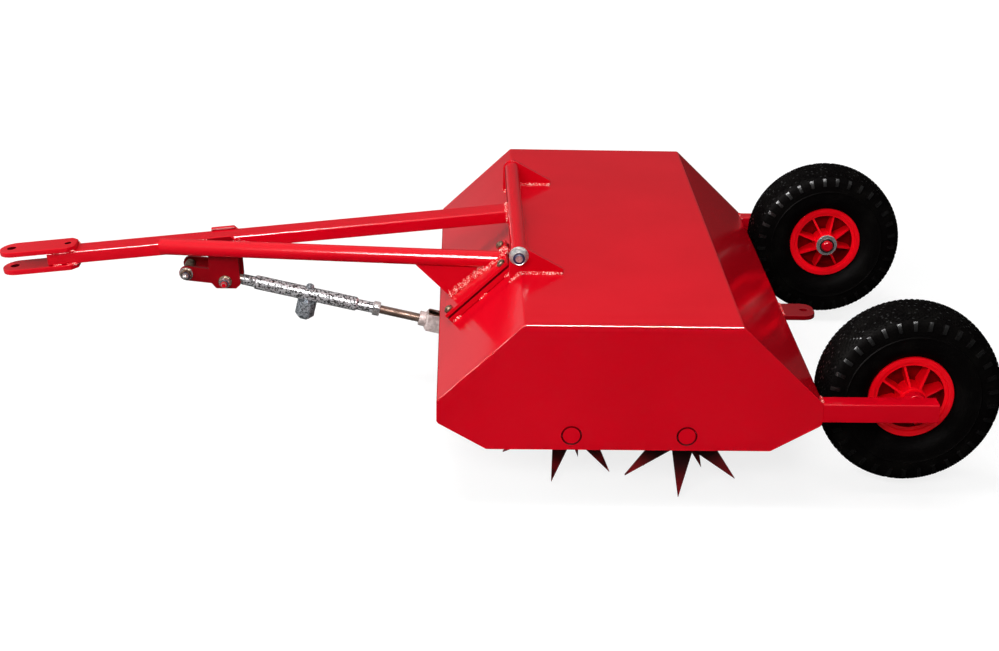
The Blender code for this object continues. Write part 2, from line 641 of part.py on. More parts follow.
def build_brace():
    """The round brace on the left side, and the gusset that stiffens its rear end."""
    front, rear = brace_ends()
    along = (rear - front).normalized()
    length = (rear - front).length
    past = 3 * BRACE_RADIUS
    bore = BRACE_RADIUS - BRACE_WALL
    profile = [
        (0, 0),
        (BRACE_RADIUS, 0),
        (BRACE_RADIUS, length + past),
        (bore, length + past),
        (bore, BRACE_WALL),
        (0, BRACE_WALL),
    ]
    brace = lathe("drawbar_brace", ENAMEL, profile, front, along, 24)
    flange_side = half_space("brace_rear_cut", SLOPE_FRAME, -past, FLANGE_TOP + SEAT, HOOD_WIDTH / 2)
    boolean(brace, flange_side, "DIFFERENCE")
    half_w = TUBE_WIDTH / 2 + SEAT
    half_h = TUBE_HEIGHT / 2 + SEAT
    corners = [(-CLEVIS_REACH, -half_w), (0, -half_w), (0, half_w), (-CLEVIS_REACH, half_w)]
    tube_side = slab("brace_front_cut", None, corners, TUBE_FRAME, -half_h, half_h)
    boolean(brace, tube_side, "DIFFERENCE")

    level = Vector((along.x, along.y, 0)).normalized()
    base = frame(front, level, (0, 0, 1))
    rise = along.z / along.to_2d().length
    under = (BRACE_RADIUS + SEAT) * math.hypot(1, rise)
    lean = abs((base.to_3x3() @ Vector((0, 0, 1))).dot(SLOPE_NORMAL))
    flange_face = SLOPE_FRAME @ Vector((0, 0, FLANGE_TOP + SEAT + lean * GUSSET_THICKNESS / 2))
    steep = SLOPE.z / SLOPE.x

    def on_flange(x):
        """A point on the flange's top face above x, in the gusset's plane."""
        return (x - front.x) / level.x, flange_face.z + (x - flange_face.x) * steep - front.z

    start = (-GUSSET_REACH - front.x) / level.x
    foot = on_flange(GUSSET_FOOT)
    shift = flange_face.z - front.z + (front.x - flange_face.x) * steep
    top = (shift + under) / (rise - steep * level.x)
    outline = [(start, rise * start - under), foot, (top, rise * top - under)]
    slab("brace_gusset", ENAMEL, outline, base, -GUSSET_THICKNESS / 2, GUSSET_THICKNESS / 2)


# Bracket
def bracket_outline():
    """A bracket plate as (x, z): a body on the tube, a foot at the link pin and a nose."""
    steep = ALONG.z / ALONG.x

    def above_tube(x):
        """The height of the plate's top edge at x."""
        centre = TUBE_ORIGIN.z + (x - TUBE_ORIGIN.x) * steep
        return centre + TUBE_HEIGHT / 2 + BRACKET_STAND_ABOVE_TUBE

    nose = arc(BRACKET_NOSE_X, BRACKET_NOSE_Z, BRACKET_NOSE_RADIUS, 80, 265, 8)
    return [
        (BRACKET_FRONT_EDGE, above_tube(BRACKET_FRONT_EDGE)),
        (BRACKET_FRONT_EDGE, BRACKET_NOTCH_Z),
        *nose,
        (BRACKET_FOOT_FRONT - BRACKET_FOOT_BEVEL, BRACKET_FOOT_Z + 1.2 * BRACKET_FOOT_BEVEL),
        (BRACKET_FOOT_FRONT, BRACKET_FOOT_Z),
        (BRACKET_FOOT_REAR, BRACKET_FOOT_Z),
        (BRACKET_FOOT_REAR + BRACKET_FOOT_BEVEL, BRACKET_FOOT_Z + BRACKET_FOOT_BEVEL),
        (BRACKET_REAR_EDGE, above_tube(BRACKET_REAR_EDGE) - BRACKET_TOP_BEVEL),
        (BRACKET_REAR_EDGE - BRACKET_TOP_BEVEL, above_tube(BRACKET_REAR_EDGE - BRACKET_TOP_BEVEL)),
    ]


def bracket_bolt(name, x, z):
    """A bolt across the bracket with its head on the right and its nut on the left."""
    head = BRACKET_OUTER + SEAT
    nut = -BRACKET_OUTER - SEAT
    tip = nut - BRACKET_NUT_HEIGHT - BRACKET_BOLT_OUT
    radius = BRACKET_BOLT_RADIUS
    profile = [
        (0, tip),
        (radius * 0.7, tip),
        (radius, tip + 0.002),
        (radius, head),
        (BRACKET_BOLT_FLATS / 2, head),
        (BRACKET_BOLT_FLATS / 2, head + BRACKET_BOLT_HEAD),
        (0, head + BRACKET_BOLT_HEAD),
    ]
    centre = Vector((x, 0, z))
    lathe(f"{name}_bolt", ZINC, profile, centre, (0, 1, 0), SMALL_ROUND)
    base = Matrix.Translation(centre) @ SIDE_VIEW
    bore = ring(0, 0, radius + SEAT, SMALL_ROUND)
    slab(f"{name}_nut", ZINC, hex_ring(BRACKET_BOLT_FLATS), base, nut - BRACKET_NUT_HEIGHT, nut, [bore])


def build_bracket():
    """Two plates on the tube's sides that hold the front end of the top link."""
    holes = [
        ring(LINK_PIN_Z, LINK_PIN_X, BRACKET_BOLT_RADIUS + SEAT, SMALL_ROUND),
        ring(BRACKET_NOSE_Z, BRACKET_NOSE_X, BRACKET_BOLT_RADIUS + SEAT, SMALL_ROUND),
    ]
    outline = upright(bracket_outline())
    slab("bracket_plate_left", ENAMEL, outline, SIDE_VIEW, -BRACKET_OUTER, -BRACKET_INNER, holes)
    slab("bracket_plate_right", ENAMEL, outline, SIDE_VIEW, BRACKET_INNER, BRACKET_OUTER, holes)
    bracket_bolt("bracket_rear", LINK_PIN_X, LINK_PIN_Z)
    bracket_bolt("bracket_front", BRACKET_NOSE_X, BRACKET_NOSE_Z)
    half = BRACKET_INNER - SEAT
    profile = pipe_profile(SPACER_RADIUS, BRACKET_BOLT_RADIUS + SEAT, -half, half)
    nose = (BRACKET_NOSE_X, 0, BRACKET_NOSE_Z)
    lathe("bracket_spacer", GALVANISED, profile, nose, (0, 1, 0), SMALL_ROUND)


# Top link
def build_top_link():
    """The fork with its threaded rod, and the turnbuckle, drawn from the fork pin."""
    side = Vector((0, 1, 0))
    up = LINK.cross(side) * -1
    half = FORK_WIDTH / 2
    fork_frame = frame(FORK_PIN, LINK, side)
    round_end = arc(0, 0, half, 90, 270, 8)
    outline = round_end + [(FORK_SHOULDER, -half), (FORK_SHOULDER, half)]
    fork = slab("fork_head", BARE, outline, frame(FORK_PIN, LINK, up), -half, half,
                [ring(0, 0, FORK_PIN_RADIUS + RUN, SMALL_ROUND)], origin=FORK_PIN)
    slot = [(-2 * half, -FORK_SLOT / 2), (FORK_SLOT_DEPTH, -FORK_SLOT / 2),
            (FORK_SLOT_DEPTH, FORK_SLOT / 2), (-2 * half, FORK_SLOT / 2)]
    slot_guide = slab("fork_slot", None, slot, fork_frame, -2 * half, 2 * half)
    boolean(fork, slot_guide, "DIFFERENCE")
    profile = pipe_profile(FORK_COLLAR_RADIUS, 0, FORK_SHOULDER - FORK_OVERLAP, FORK_LENGTH)
    collar = lathe("fork_collar", None, profile, FORK_PIN, LINK, SMALL_ROUND)
    boolean(fork, collar, "UNION")
    socket_start = FORK_SHOULDER - 2 * FORK_OVERLAP
    profile = pipe_profile(ROD_RADIUS + SEAT, 0, socket_start, FORK_LENGTH + FORK_SHOULDER)
    socket = lathe("fork_socket", None, profile, FORK_PIN, LINK, SMALL_ROUND)
    boolean(fork, socket, "DIFFERENCE")

    profile = pipe_profile(ROD_RADIUS, 0, socket_start + SEAT, SLEEVE_START + ROD_IN_SLEEVE)
    lathe("threaded_rod", BARE, profile, FORK_PIN, LINK, SMALL_ROUND)

    sleeve_end = SLEEVE_START + SLEEVE_LENGTH
    bore = SLEEVE_BORE_RADIUS
    taper = NECK_TAPER
    profile = [
        (bore, SLEEVE_START),
        (NECK_RADIUS, SLEEVE_START),
        (NECK_RADIUS, SLEEVE_START + REAR_NECK_LENGTH),
        (SLEEVE_RADIUS, SLEEVE_START + REAR_NECK_LENGTH + taper),
        (SLEEVE_RADIUS, sleeve_end - FRONT_NECK_LENGTH - taper),
        (NECK_RADIUS, sleeve_end - FRONT_NECK_LENGTH),
        (NECK_RADIUS, sleeve_end),
        (bore, sleeve_end),
    ]
    sleeve = lathe("turnbuckle_sleeve", GALVANISED, profile, FORK_PIN, LINK, ROUND)

    place = FORK_PIN + LINK * KNOB_PLACE
    through = 2 * SLEEVE_RADIUS
    profile = pipe_profile(CROSS_PIN_RADIUS + SEAT, 0, -through, through)
    cross = lathe("cross_hole", None, profile, place, up, SMALL_ROUND)
    boolean(sleeve, cross, "DIFFERENCE")

    top = SLEEVE_RADIUS + CROSS_PIN_DOME
    bottom = KNOB_DROP + KNOB_HEIGHT
    edge = 0.4 * CROSS_PIN_DOME
    pin = [(0, -bottom / 2), (CROSS_PIN_RADIUS, -bottom / 2), (CROSS_PIN_RADIUS, top - edge),
           (CROSS_PIN_RADIUS - edge, top), (0, top)]
    knob = lathe("turnbuckle_knob", GALVANISED, pin, place, up, SMALL_ROUND)
    radius = KNOB_WIDTH / 2
    bevel = 0.2 * KNOB_HEIGHT
    head = [(0, -bottom), (radius - bevel, -bottom), (radius, -bottom + bevel),
            (radius, -KNOB_DROP), (0, -KNOB_DROP)]
    grip = lathe("knob_grip", None, head, place, up, 6)
    boolean(knob, grip, "UNION")


def build_link_fittings():
    """The lock nut and the eye rod of the top link."""
    side = Vector((0, 1, 0))
    up = LINK.cross(side) * -1
    across = frame(FORK_PIN, side, up)
    sign = 1 if (across.to_3x3() @ Vector((0, 0, 1))).dot(LINK) > 0 else -1
    bore = ring(0, 0, ROD_RADIUS + RUN, SMALL_ROUND)
    sleeve_end = SLEEVE_START + SLEEVE_LENGTH
    near = SLEEVE_START - SEAT - LOCK_NUT_HEIGHT
    ends = sorted((sign * near, sign * (near + LOCK_NUT_HEIGHT)))
    slab("lock_nut", ZINC, hex_ring(LOCK_NUT_FLATS, math.radians(30)), across, ends[0], ends[1], [bore],
         origin=FORK_PIN + LINK * near)

    eye_half = BRACKET_INNER - EYE_SIDE_GAP
    eye_hole = BRACKET_BOLT_RADIUS + EYE_CLEARANCE
    profile = pipe_profile(EYE_RADIUS, 0, -eye_half, eye_half)
    eye = lathe("eye_rod", ZINC, profile, LINK_PIN, (0, 1, 0), SMALL_ROUND)
    shank_end = LINK_LENGTH - (EYE_RADIUS + eye_hole) / 2
    profile = pipe_profile(ROD_RADIUS, 0, sleeve_end - EYE_ROD_IN_SLEEVE, shank_end)
    shank = lathe("eye_shank", None, profile, FORK_PIN, LINK, SMALL_ROUND)
    boolean(eye, shank, "UNION")
    profile = pipe_profile(eye_hole, 0, -2 * eye_half, 2 * eye_half)
    hole = lathe("eye_hole", None, profile, LINK_PIN, (0, 1, 0), SMALL_ROUND)
    boolean(eye, hole, "DIFFERENCE")


def build_lugs():
    """The top link's lug under the hood's front, and the hitch lug on the rear strip."""
    under = offset_path(hood_corners(), -SHEET - SEAT)
    wall_x, wall_z = under[1]
    slope_end = Vector(under[1]) + Vector((SLOPE.x, SLOPE.z)) * LUG_ALONG_SLOPE
    round_end = arc(FORK_PIN_X, FORK_PIN_Z, LUG_RADIUS, 190, 360, 10)
    outline = [(wall_x, STRIP_BOTTOM - SEAT), (wall_x, wall_z), tuple(slope_end)]
    outline = rounded(outline, BEND_RADIUS, 3, closed=False)
    outline += [(FORK_PIN_X + LUG_RADIUS, FORK_PIN_Z + LUG_NECK), *round_end[::-1]]
    hole = ring(FORK_PIN_Z, FORK_PIN_X, FORK_PIN_RADIUS + SEAT, SMALL_ROUND)
    slab("top_link_lug", ENAMEL, upright(outline), SIDE_VIEW, -LUG_THICKNESS / 2, LUG_THICKNESS / 2, [hole])

    half = FORK_WIDTH / 2 + FORK_PIN_ROOM
    head = half + FORK_PIN_HEAD_HEIGHT
    tip = half + FORK_PIN_OUT
    profile = [
        (0, -head),
        (FORK_PIN_HEAD_RADIUS, -head),
        (FORK_PIN_HEAD_RADIUS, -half),
        (FORK_PIN_RADIUS, -half),
        (FORK_PIN_RADIUS, tip),
        (0, tip),
    ]
    lathe("fork_pin", ZINC, profile, FORK_PIN, (0, 1, 0), SMALL_ROUND)

    half = HITCH_LUG_WIDTH / 2
    start = HOOD_LENGTH + SEAT
    end = HOOD_LENGTH + HITCH_LUG_REACH
    outline = [(start, HITCH_LUG_Y + half), (start, HITCH_LUG_Y - half)]
    outline += rounded_nose(end, half)
    hole = ring(end - HITCH_LUG_HOLE_INSET, HITCH_LUG_Y, HITCH_LUG_HOLE_RADIUS, SMALL_ROUND)
    low = HITCH_LUG_TOP - HITCH_LUG_THICKNESS
    slab("rear_hitch_lug", ENAMEL, outline, GROUND_FRAME, low, HITCH_LUG_TOP, [hole])


def rounded_nose(end, half):
    """The two rounded rear corners of the hitch lug."""
    radius = HITCH_LUG_CORNER
    lower = arc(end - radius, HITCH_LUG_Y - half + radius, radius, 270, 360, 5)
    upper = arc(end - radius, HITCH_LUG_Y + half - radius, radius, 0, 90, 5)
    return lower + upper


# Wheels
def tyre_profile():
    """The tyre's C-shaped section as (radius, distance from its middle)."""
    bead_y = RIM_HALF_WIDTH - RIM_WALL - SEAT
    bead_r = RIM_BARREL_RADIUS + SEAT
    full = TYRE_HALF_WIDTH
    top = TYRE_RADIUS
    outside = [
        (bead_r, bead_y),
        (RIM_FLANGE_RADIUS + 0.001, bead_y),
        (top * 0.58, full * 0.86),
        (top * 0.68, full * 0.97),
        (top * 0.77, full),
        (top * 0.87, full * 0.96),
        (top * 0.935, full * 0.83),
        (top * 0.980, full * 0.50),
    ]
    inside = [
        (top * 0.900, full * 0.60),
        (top * 0.800, full * 0.82),
        (top * 0.660, full * 0.80),
        (bead_r + 0.010, bead_y - 0.007),
        (bead_r, bead_y - 0.007),
    ]
    half = outside + [(top, 0)]
    mirrored = [(r, -d) for r, d in outside[::-1]]
    inner_mirrored = [(r, -d) for r, d in inside[::-1]]
    return half + mirrored + inner_mirrored + [(top * 0.950, 0)] + inside


def rim_profile(bush_bore):
    """The rim's section: hub, web, barrel and two flanges."""
    flange = RIM_HALF_WIDTH
    half = [
        (bush_bore, HUB_HALF_LENGTH),
        (HUB_RADIUS, HUB_HALF_LENGTH),
        (HUB_RADIUS + 0.001, WEB_HALF),
        (RIM_BARREL_RADIUS - RIM_WALL, WEB_HALF),
        (RIM_BARREL_RADIUS - RIM_WALL, flange - 0.001),
        (RIM_BARREL_RADIUS - RIM_WALL + 0.001, flange),
        (RIM_FLANGE_RADIUS - 0.002, flange),
        (RIM_FLANGE_RADIUS, flange - 0.0015),
        (RIM_FLANGE_RADIUS, flange - RIM_WALL),
        (RIM_BARREL_RADIUS, flange - RIM_WALL),
    ]
    return half + [(r, -d) for r, d in half[::-1]]


def build_wheel(side, sign):
    """A tyre on a ribbed rim that turns on a stub axle in its arm."""
    centre = Vector((WHEEL_X, sign * WHEEL_Y, WHEEL_HEIGHT))
    outward = Vector((0, sign, 0))
    lathe(f"tyre_{side}", RUBBER, tyre_profile(), centre, outward, TYRE_ROUND)

    bush_bore = SLEEVE_BUSH_RADIUS + SEAT
    rim = lathe(f"rim_{side}", RIM_PLASTIC, rim_profile(bush_bore), centre, outward, TYRE_ROUND)
    bm = bmesh.new()
    root = HUB_RADIUS - 0.001
    tip = RIM_BARREL_RADIUS - RIM_WALL + 0.0015
    for face in (-1, 1):
        for index in range(RIB_COUNT):
            angle = 2 * math.pi * (index + RIB_TURN) / RIB_COUNT
            radial = Vector((math.cos(angle), 0, math.sin(angle)))
            base = frame(centre, radial, (0, face, 0))
            rib = [(root, WEB_HALF - 0.001), (tip, WEB_HALF - 0.001),
                   (tip, RIM_HALF_WIDTH - 0.006), (root, HUB_HALF_LENGTH - 0.004)]
            lifted = base @ Matrix.Translation((0, 0, -RIB_THICKNESS / 2))
            add_slab(bm, rib, [], lifted, RIB_THICKNESS)
    ribs = finish(bm, f"ribs_{side}", None, centre, smooth=False)
    boolean(rim, ribs, "UNION")

    for place, end in (("inner", -HUB_HALF_LENGTH), ("outer", HUB_HALF_LENGTH - HUB_BUSH_LENGTH)):
        profile = pipe_profile(SLEEVE_BUSH_RADIUS, STUB_RADIUS + RUN, end, end + HUB_BUSH_LENGTH)
        lathe(f"hub_bush_{side}_{place}", NYLON, profile, centre, outward, SMALL_ROUND)

    arm_inner = SIDE_FACE - ARM_SIZE - WHEEL_Y
    washer = -HUB_HALF_LENGTH - RUN
    retainer = washer - WASHER_THICKNESS - SEAT
    tip_end = retainer - RETAINER_THICKNESS - STUB_TIP
    profile = [
        (0, tip_end),
        (STUB_RADIUS * 0.7, tip_end),
        (STUB_RADIUS, tip_end + 0.003),
        (STUB_RADIUS, HUB_HALF_LENGTH + RUN),
        (STUB_COLLAR_RADIUS, HUB_HALF_LENGTH + RUN),
        (STUB_COLLAR_RADIUS, arm_inner - SEAT),
        (0, arm_inner - SEAT),
    ]
    lathe(f"stub_axle_{side}", ENAMEL, profile, centre, outward, SMALL_ROUND)
    profile = pipe_profile(HUB_WASHER_RADIUS, STUB_RADIUS + SEAT, washer - WASHER_THICKNESS, washer)
    lathe(f"hub_washer_{side}", ZINC, profile, centre, outward, SMALL_ROUND)
    profile = pipe_profile(RETAINER_RADIUS, STUB_RADIUS + SEAT, retainer - RETAINER_THICKNESS, retainer)
    lathe(f"hub_retainer_{side}", GALVANISED, profile, centre, outward, SMALL_ROUND)


def build_arm(side, sign):
    """A square tube behind the hood that carries one wheel."""
    half = ARM_SIZE / 2
    middle_y = sign * (SIDE_FACE - half)
    middle_z = ARM_TOP - half
    base = frame((HOOD_LENGTH + SEAT, middle_y, middle_z), (0, 1, 0), (0, 0, 1))
    outer = rounded(rectangle(half, half), TUBE_CORNER, 2)
    arm = slab(f"wheel_arm_{side}", ENAMEL, outer, base, 0, ARM_REACH)
    hollow = rectangle(half - ARM_WALL, half - ARM_WALL)
    room = slab(f"arm_room_{side}", None, hollow, base, -ARM_WALL, ARM_REACH - ARM_WALL)
    boolean(arm, room, "DIFFERENCE")


def set_origin(name, point):
    """Move an object's origin to a point of the machine without moving its shape."""
    item = bpy.data.objects[name]
    home = Vector(point) - ORIGIN
    item.data.transform(Matrix.Translation(item.location - home))
    item.location = home


build_hood()
build_roller("front", FRONT_AXLE_X, FRONT_FIRST_STAR - SIDE_FACE, FRONT_ROLLER_TURN)
build_roller("rear", REAR_AXLE_X, REAR_FIRST_STAR - SIDE_FACE, REAR_ROLLER_TURN)
build_pivot()
build_drawbar_tube()
build_clevis()
build_stop()
build_brace()
build_bracket()
build_top_link()
build_link_fittings()
build_lugs()
for wheel_side, wheel_sign in (("left", -1), ("right", 1)):
    build_wheel(wheel_side, wheel_sign)
    build_arm(wheel_side, wheel_sign)

# The pieces that swing together turn about their joint, so their origins lie on its axis
for piece in DRAWBAR_PIECES:
    set_origin(piece, (PIVOT_X, 0, PIVOT_Z))
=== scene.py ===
# %% [markdown]
# # A tow-behind dethatcher, dressed for its portrait
# The machine is a folded steel hood on two rollers of pointed stars. A drawbar with a brace
# tows it, a turnbuckle sets its pitch, and two small wheels follow on arms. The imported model
# already has every size, so this script only gives each piece its rounded edges, threads,
# welds, tread and paint. Everything is in metres, -X is the towing direction and Z is up.

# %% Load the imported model
import json
import math
import random

import bmesh
import bpy
from mathutils import Matrix, Vector, noise


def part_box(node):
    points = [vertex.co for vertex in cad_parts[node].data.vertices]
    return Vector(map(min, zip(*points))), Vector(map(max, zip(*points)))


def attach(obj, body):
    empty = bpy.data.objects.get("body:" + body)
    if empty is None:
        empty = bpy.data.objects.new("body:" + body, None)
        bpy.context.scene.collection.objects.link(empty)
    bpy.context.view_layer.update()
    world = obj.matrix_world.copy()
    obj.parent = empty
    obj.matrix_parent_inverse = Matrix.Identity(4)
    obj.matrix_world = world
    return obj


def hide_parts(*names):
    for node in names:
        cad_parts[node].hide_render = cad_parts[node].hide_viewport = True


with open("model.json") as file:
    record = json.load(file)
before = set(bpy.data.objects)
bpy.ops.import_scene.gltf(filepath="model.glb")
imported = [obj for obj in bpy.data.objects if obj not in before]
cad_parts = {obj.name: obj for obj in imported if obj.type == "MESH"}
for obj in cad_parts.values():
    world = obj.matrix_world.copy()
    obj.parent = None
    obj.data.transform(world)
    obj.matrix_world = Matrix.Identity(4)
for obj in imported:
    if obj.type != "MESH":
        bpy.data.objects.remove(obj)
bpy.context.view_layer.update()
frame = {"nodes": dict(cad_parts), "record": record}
BODIES = frame["record"]["behaviour"]["bodies"]
BODY_OF = {node: body for body, nodes in BODIES.items() for node in nodes}
print("bodies:", len(BODIES), "nodes:", len(BODY_OF))


def middle(node):
    """The centre of a node's box."""
    low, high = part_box(node)
    return (low + high) / 2


plate_low, plate_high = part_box("end_plate_left")
ORIGIN = Vector((plate_low.x, 0, plate_low.z))   # hood's front face, mid width, lower edge
SIDE_FACE, PLATE_INNER = -plate_low.y, -plate_high.y
print("hood starts at", tuple(round(value, 4) for value in ORIGIN))

# %% [markdown]
# ## The camera
# A photograph keeps its perspective, so the camera has to stand where the photographer
# stood. Its place and three angles were found by fitting known corners of the machine to
# the picture. They are given here from the hood's front lower edge, which keeps them
# readable, and the lens is worked out from the focal length in pixels.

# %% Set up the camera
IMAGE_WIDTH = 999
FOCAL_PIXELS = 1791.63
CENTRE_PIXEL_X = 526.43
SENSOR = 36.0
CAMERA_PLACE = Vector((0.02623, -2.6166, 1.0815))
YAW, PITCH, ROLL = 0.0421, 0.3863, 0.0264


def aim(yaw, pitch, roll):
    """The camera's rotation from its heading, its downward tilt and its roll, in radians."""
    ahead = Vector((math.sin(yaw) * math.cos(pitch), math.cos(yaw) * math.cos(pitch), -math.sin(pitch)))
    level = Vector((math.cos(yaw), -math.sin(yaw), 0))
    top = level.cross(ahead)
    right = level * math.cos(roll) + top * math.sin(roll)
    up = top * math.cos(roll) - level * math.sin(roll)
    return Matrix((right, up, -ahead)).transposed()


lens = bpy.data.cameras.new("portrait_camera")
lens.sensor_width = SENSOR
lens.lens = FOCAL_PIXELS / IMAGE_WIDTH * SENSOR
lens.shift_x = (IMAGE_WIDTH / 2 - CENTRE_PIXEL_X) / IMAGE_WIDTH
camera = bpy.data.objects.new("portrait_camera", lens)
camera.matrix_world = Matrix.Translation(ORIGIN + CAMERA_PLACE) @ aim(YAW, PITCH, ROLL).to_4x4()
bpy.context.scene.collection.objects.link(camera)
bpy.context.scene.camera = camera
print("lens", round(lens.lens, 2), "mm")

# %% [markdown]
# ## Shader maths
# A material is a graph of nodes, and drawing it wire by wire is slow to read. This class
# wraps a number that flows between nodes. It overloads Python's operators, so ordinary
# arithmetic adds the Math nodes, also where a plain number stands first, as in 1 - tone.

# %% Wrap a number that flows between nodes
class Flow:
    """A number that varies over a surface. Arithmetic on it adds Math nodes."""

    def __init__(self, graph, socket):
        self.graph = graph
        self.socket = socket

    def math(self, operation, *values):
        """Add one Math node on the values and return its result."""
        node = self.graph.node("ShaderNodeMath", {"operation": operation}, dict(enumerate(values)))
        return Flow(self.graph, node.outputs[0])

    def __add__(self, other):
        return self.math("ADD", self, other)

    def __radd__(self, other):
        return self.math("ADD", other, self)

    def __sub__(self, other):
        return self.math("SUBTRACT", self, other)

    def __rsub__(self, other):
        return self.math("SUBTRACT", other, self)

    def __mul__(self, other):
        return self.math("MULTIPLY", self, other)

    def __rmul__(self, other):
        return self.math("MULTIPLY", other, self)

    def root(self):
        """The square root."""
        return self.math("SQRT", self)

    def between(self, low, high):
        """0 below low, 1 above high and a smooth step from one to the other."""
        sockets = {"Value": self, "From Min": low, "From Max": high}
        node = self.graph.node("ShaderNodeMapRange", {"interpolation_type": "SMOOTHSTEP"}, sockets)
        return Flow(self.graph, node.outputs["Result"])


print("a flow can be added, subtracted and multiplied")

# %% [markdown]
# ## One way to add a node
# Materials, the sky and the floor are all trees of nodes. One method adds any node from its
# type, its settings, which come first because they can change its sockets, and what its
# sockets get. The other methods are short names for nodes that come up again and again.

# %% Add nodes to a tree
class Graph:
    """A tree of nodes."""

    def __init__(self, tree):
        self.tree = tree

    def node(self, kind, settings=None, sockets=None):
        """Add a node: first its settings, then the values or links of its sockets."""
        node = self.tree.nodes.new(kind)
        for name, value in (settings or {}).items():
            setattr(node, name, value)
        for name, value in (sockets or {}).items():
            self.feed(node.inputs[name], value)
        return node

    def feed(self, socket, value):
        """Link what flows to a socket, or set a plain value on it."""
        if isinstance(value, Flow):
            value = value.socket
        if isinstance(value, bpy.types.NodeSocket):
            self.tree.links.new(value, socket)
        else:
            socket.default_value = value

    def axes(self, vector):
        """The X, Y and Z of a vector."""
        return [Flow(self, output) for output in self.node("ShaderNodeSeparateXYZ", {}, {0: vector}).outputs]

    def ramp(self, value, start, end, low, high):
        """A number that goes evenly from low to high as a value goes from start to end."""
        sockets = {"Value": value, "From Min": start, "From Max": end, "To Min": low, "To Max": high}
        return Flow(self, self.node("ShaderNodeMapRange", {}, sockets).outputs["Result"])

    def choose(self, factor, first, second):
        """The first shader where the factor is 0 and the second where it is 1."""
        return self.node("ShaderNodeMixShader", {}, {0: factor, 1: first, 2: second}).outputs[0]


print("a graph can add any node")

# %% [markdown]
# ## A finish
# A finish is a material round one Principled shader. What is the same all over is set
# straight on the shader's sockets. What varies is mostly noise in Object coordinates, which
# are metres on the piece itself, so a pattern keeps its real size and moves with the piece.

# %% Wrap a material as a finish
FINISHES = {}


class Finish(Graph):
    """A material around one Principled shader, with what never varies set on its sockets."""

    def __init__(self, name, **uniform):
        material = bpy.data.materials.new(name)
        material.use_nodes = True
        super().__init__(material.node_tree)
        self.place = self.node("ShaderNodeTexCoord").outputs["Object"]
        self.vary(**uniform)
        FINISHES[name] = material

    def vary(self, **sockets):
        """Set or feed the shader's sockets by their names, with _ for a space."""
        shader = self.tree.nodes["Principled BSDF"]
        for name, value in sockets.items():
            self.feed(shader.inputs[name.replace("_", " ")], value)

    def grain(self, scale, detail=2.0):
        """Noise with the given number of waves to a metre."""
        sockets = {"Vector": self.place, "Scale": scale, "Detail": detail}
        return Flow(self, self.node("ShaderNodeTexNoise", {}, sockets).outputs["Fac"])

    def mix(self, factor, low, high):
        """A colour between two colours."""
        sockets = {"Factor": factor, 6: low, 7: high}
        return self.node("ShaderNodeMix", {"data_type": "RGBA"}, sockets).outputs[2]

    def relief(self, height, depth):
        """Let a height, in shares of a depth in metres, tilt the shading."""
        bump = self.node("ShaderNodeBump", {}, {"Height": height, "Distance": depth})
        self.vary(Normal=bump.outputs["Normal"])


def colour(red, green, blue):
    """A colour as a screen shows it, 0 to 255, in the shader's linear terms."""
    shares = [value / 255 for value in (red, green, blue)]
    linear = [s / 12.92 if s <= 0.04045 else ((s + 0.055) / 1.055) ** 2.4 for s in shares]
    return (*linear, 1.0)


print("screen red in linear terms:", tuple(round(share, 3) for share in colour(255, 0, 0)))

# %% [markdown]
# ## Red enamel
# Everything that is welded together was sprayed with one glossy red enamel. The coat is
# thinner in places, and it dries with a fine orange peel over wider waves, so each gets a
# noise. The same recipe makes the darker coats. The stars are scuffed, and their red is
# darker as painted shade, most towards their axle. The bracket and the hitch lug get a
# darker copy as painted shade. Seams have hardly any gloss, and that dull paint is also
# painted shade in gaps and holes. Weld beads sparkle, because each ripple mirrors a lamp,
# and pale painted glints are added to them.

# %% Mix the enamels
SHEEN_TINT = (1.0, 0.6, 0.6, 1.0)
# The second colour is painted shade round a roller's axle, the third is a painted glint.
SOOT, HUB_SHADE, PAINTED_GLINT = colour(24, 3, 4), colour(30, 1, 3), colour(255, 196, 182)
HUB_SHADE_STARTS, HUB_SHADE_FULL = 0.115, 0.050
PEEL_DEPTH = 0.0003


def make_enamel(name, full, deep, roughness, soot=0.0, glint=0.0, hub=None, ior=1.48):
    """A coat between two reds, with dark scuffs, pale painted glints or painted shade round a hub's axis."""
    finish = Finish(name, IOR=ior, Metallic=0.0, Specular_Tint=SHEEN_TINT)
    red = finish.mix(finish.grain(7, 3.0).between(0.3, 0.7), deep, full)
    if soot:
        red = finish.mix(finish.grain(38, 4.0).between(0.46, 0.62) * soot, red, SOOT)
    # Darker towards the hub's axis, as painted shade from the hood over the stars.
    if hub is not None:
        x, _, z = finish.axes(finish.place)
        x, z = x - hub.x, z - hub.z
        reach = (x * x + z * z).root()
        red = finish.mix(reach.between(HUB_SHADE_STARTS, HUB_SHADE_FULL), red, HUB_SHADE)
    # Pale spots as painted glints, standing in for the highlights on weld ripples.
    if glint:
        red = finish.mix(finish.grain(430).between(0.52, 0.60) * glint, red, PAINTED_GLINT)
    finish.vary(Base_Color=red, Roughness=roughness + 0.08 * finish.grain(60, 3.0))
    finish.relief(finish.grain(420, 1.0) * 0.20 + finish.grain(24, 1.0) * 0.10, PEEL_DEPTH)


make_enamel("red_enamel", colour(208, 3, 26), colour(202, 1, 23), 0.09)
# The stars' reds are darker than the hood's, for scuffs and as painted shade.
for end in ("front", "rear"):
    make_enamel(f"{end}_tine_dirt_and_shade", colour(140, 1, 14), colour(92, 0, 8), 0.34, soot=0.8,
                hub=middle(f"{end}_axle"))
# A darker copy of the red enamel, as painted shade for the bracket and the hitch lug.
make_enamel("painted_shade_enamel", colour(152, 2, 16), colour(128, 1, 12), 0.12)
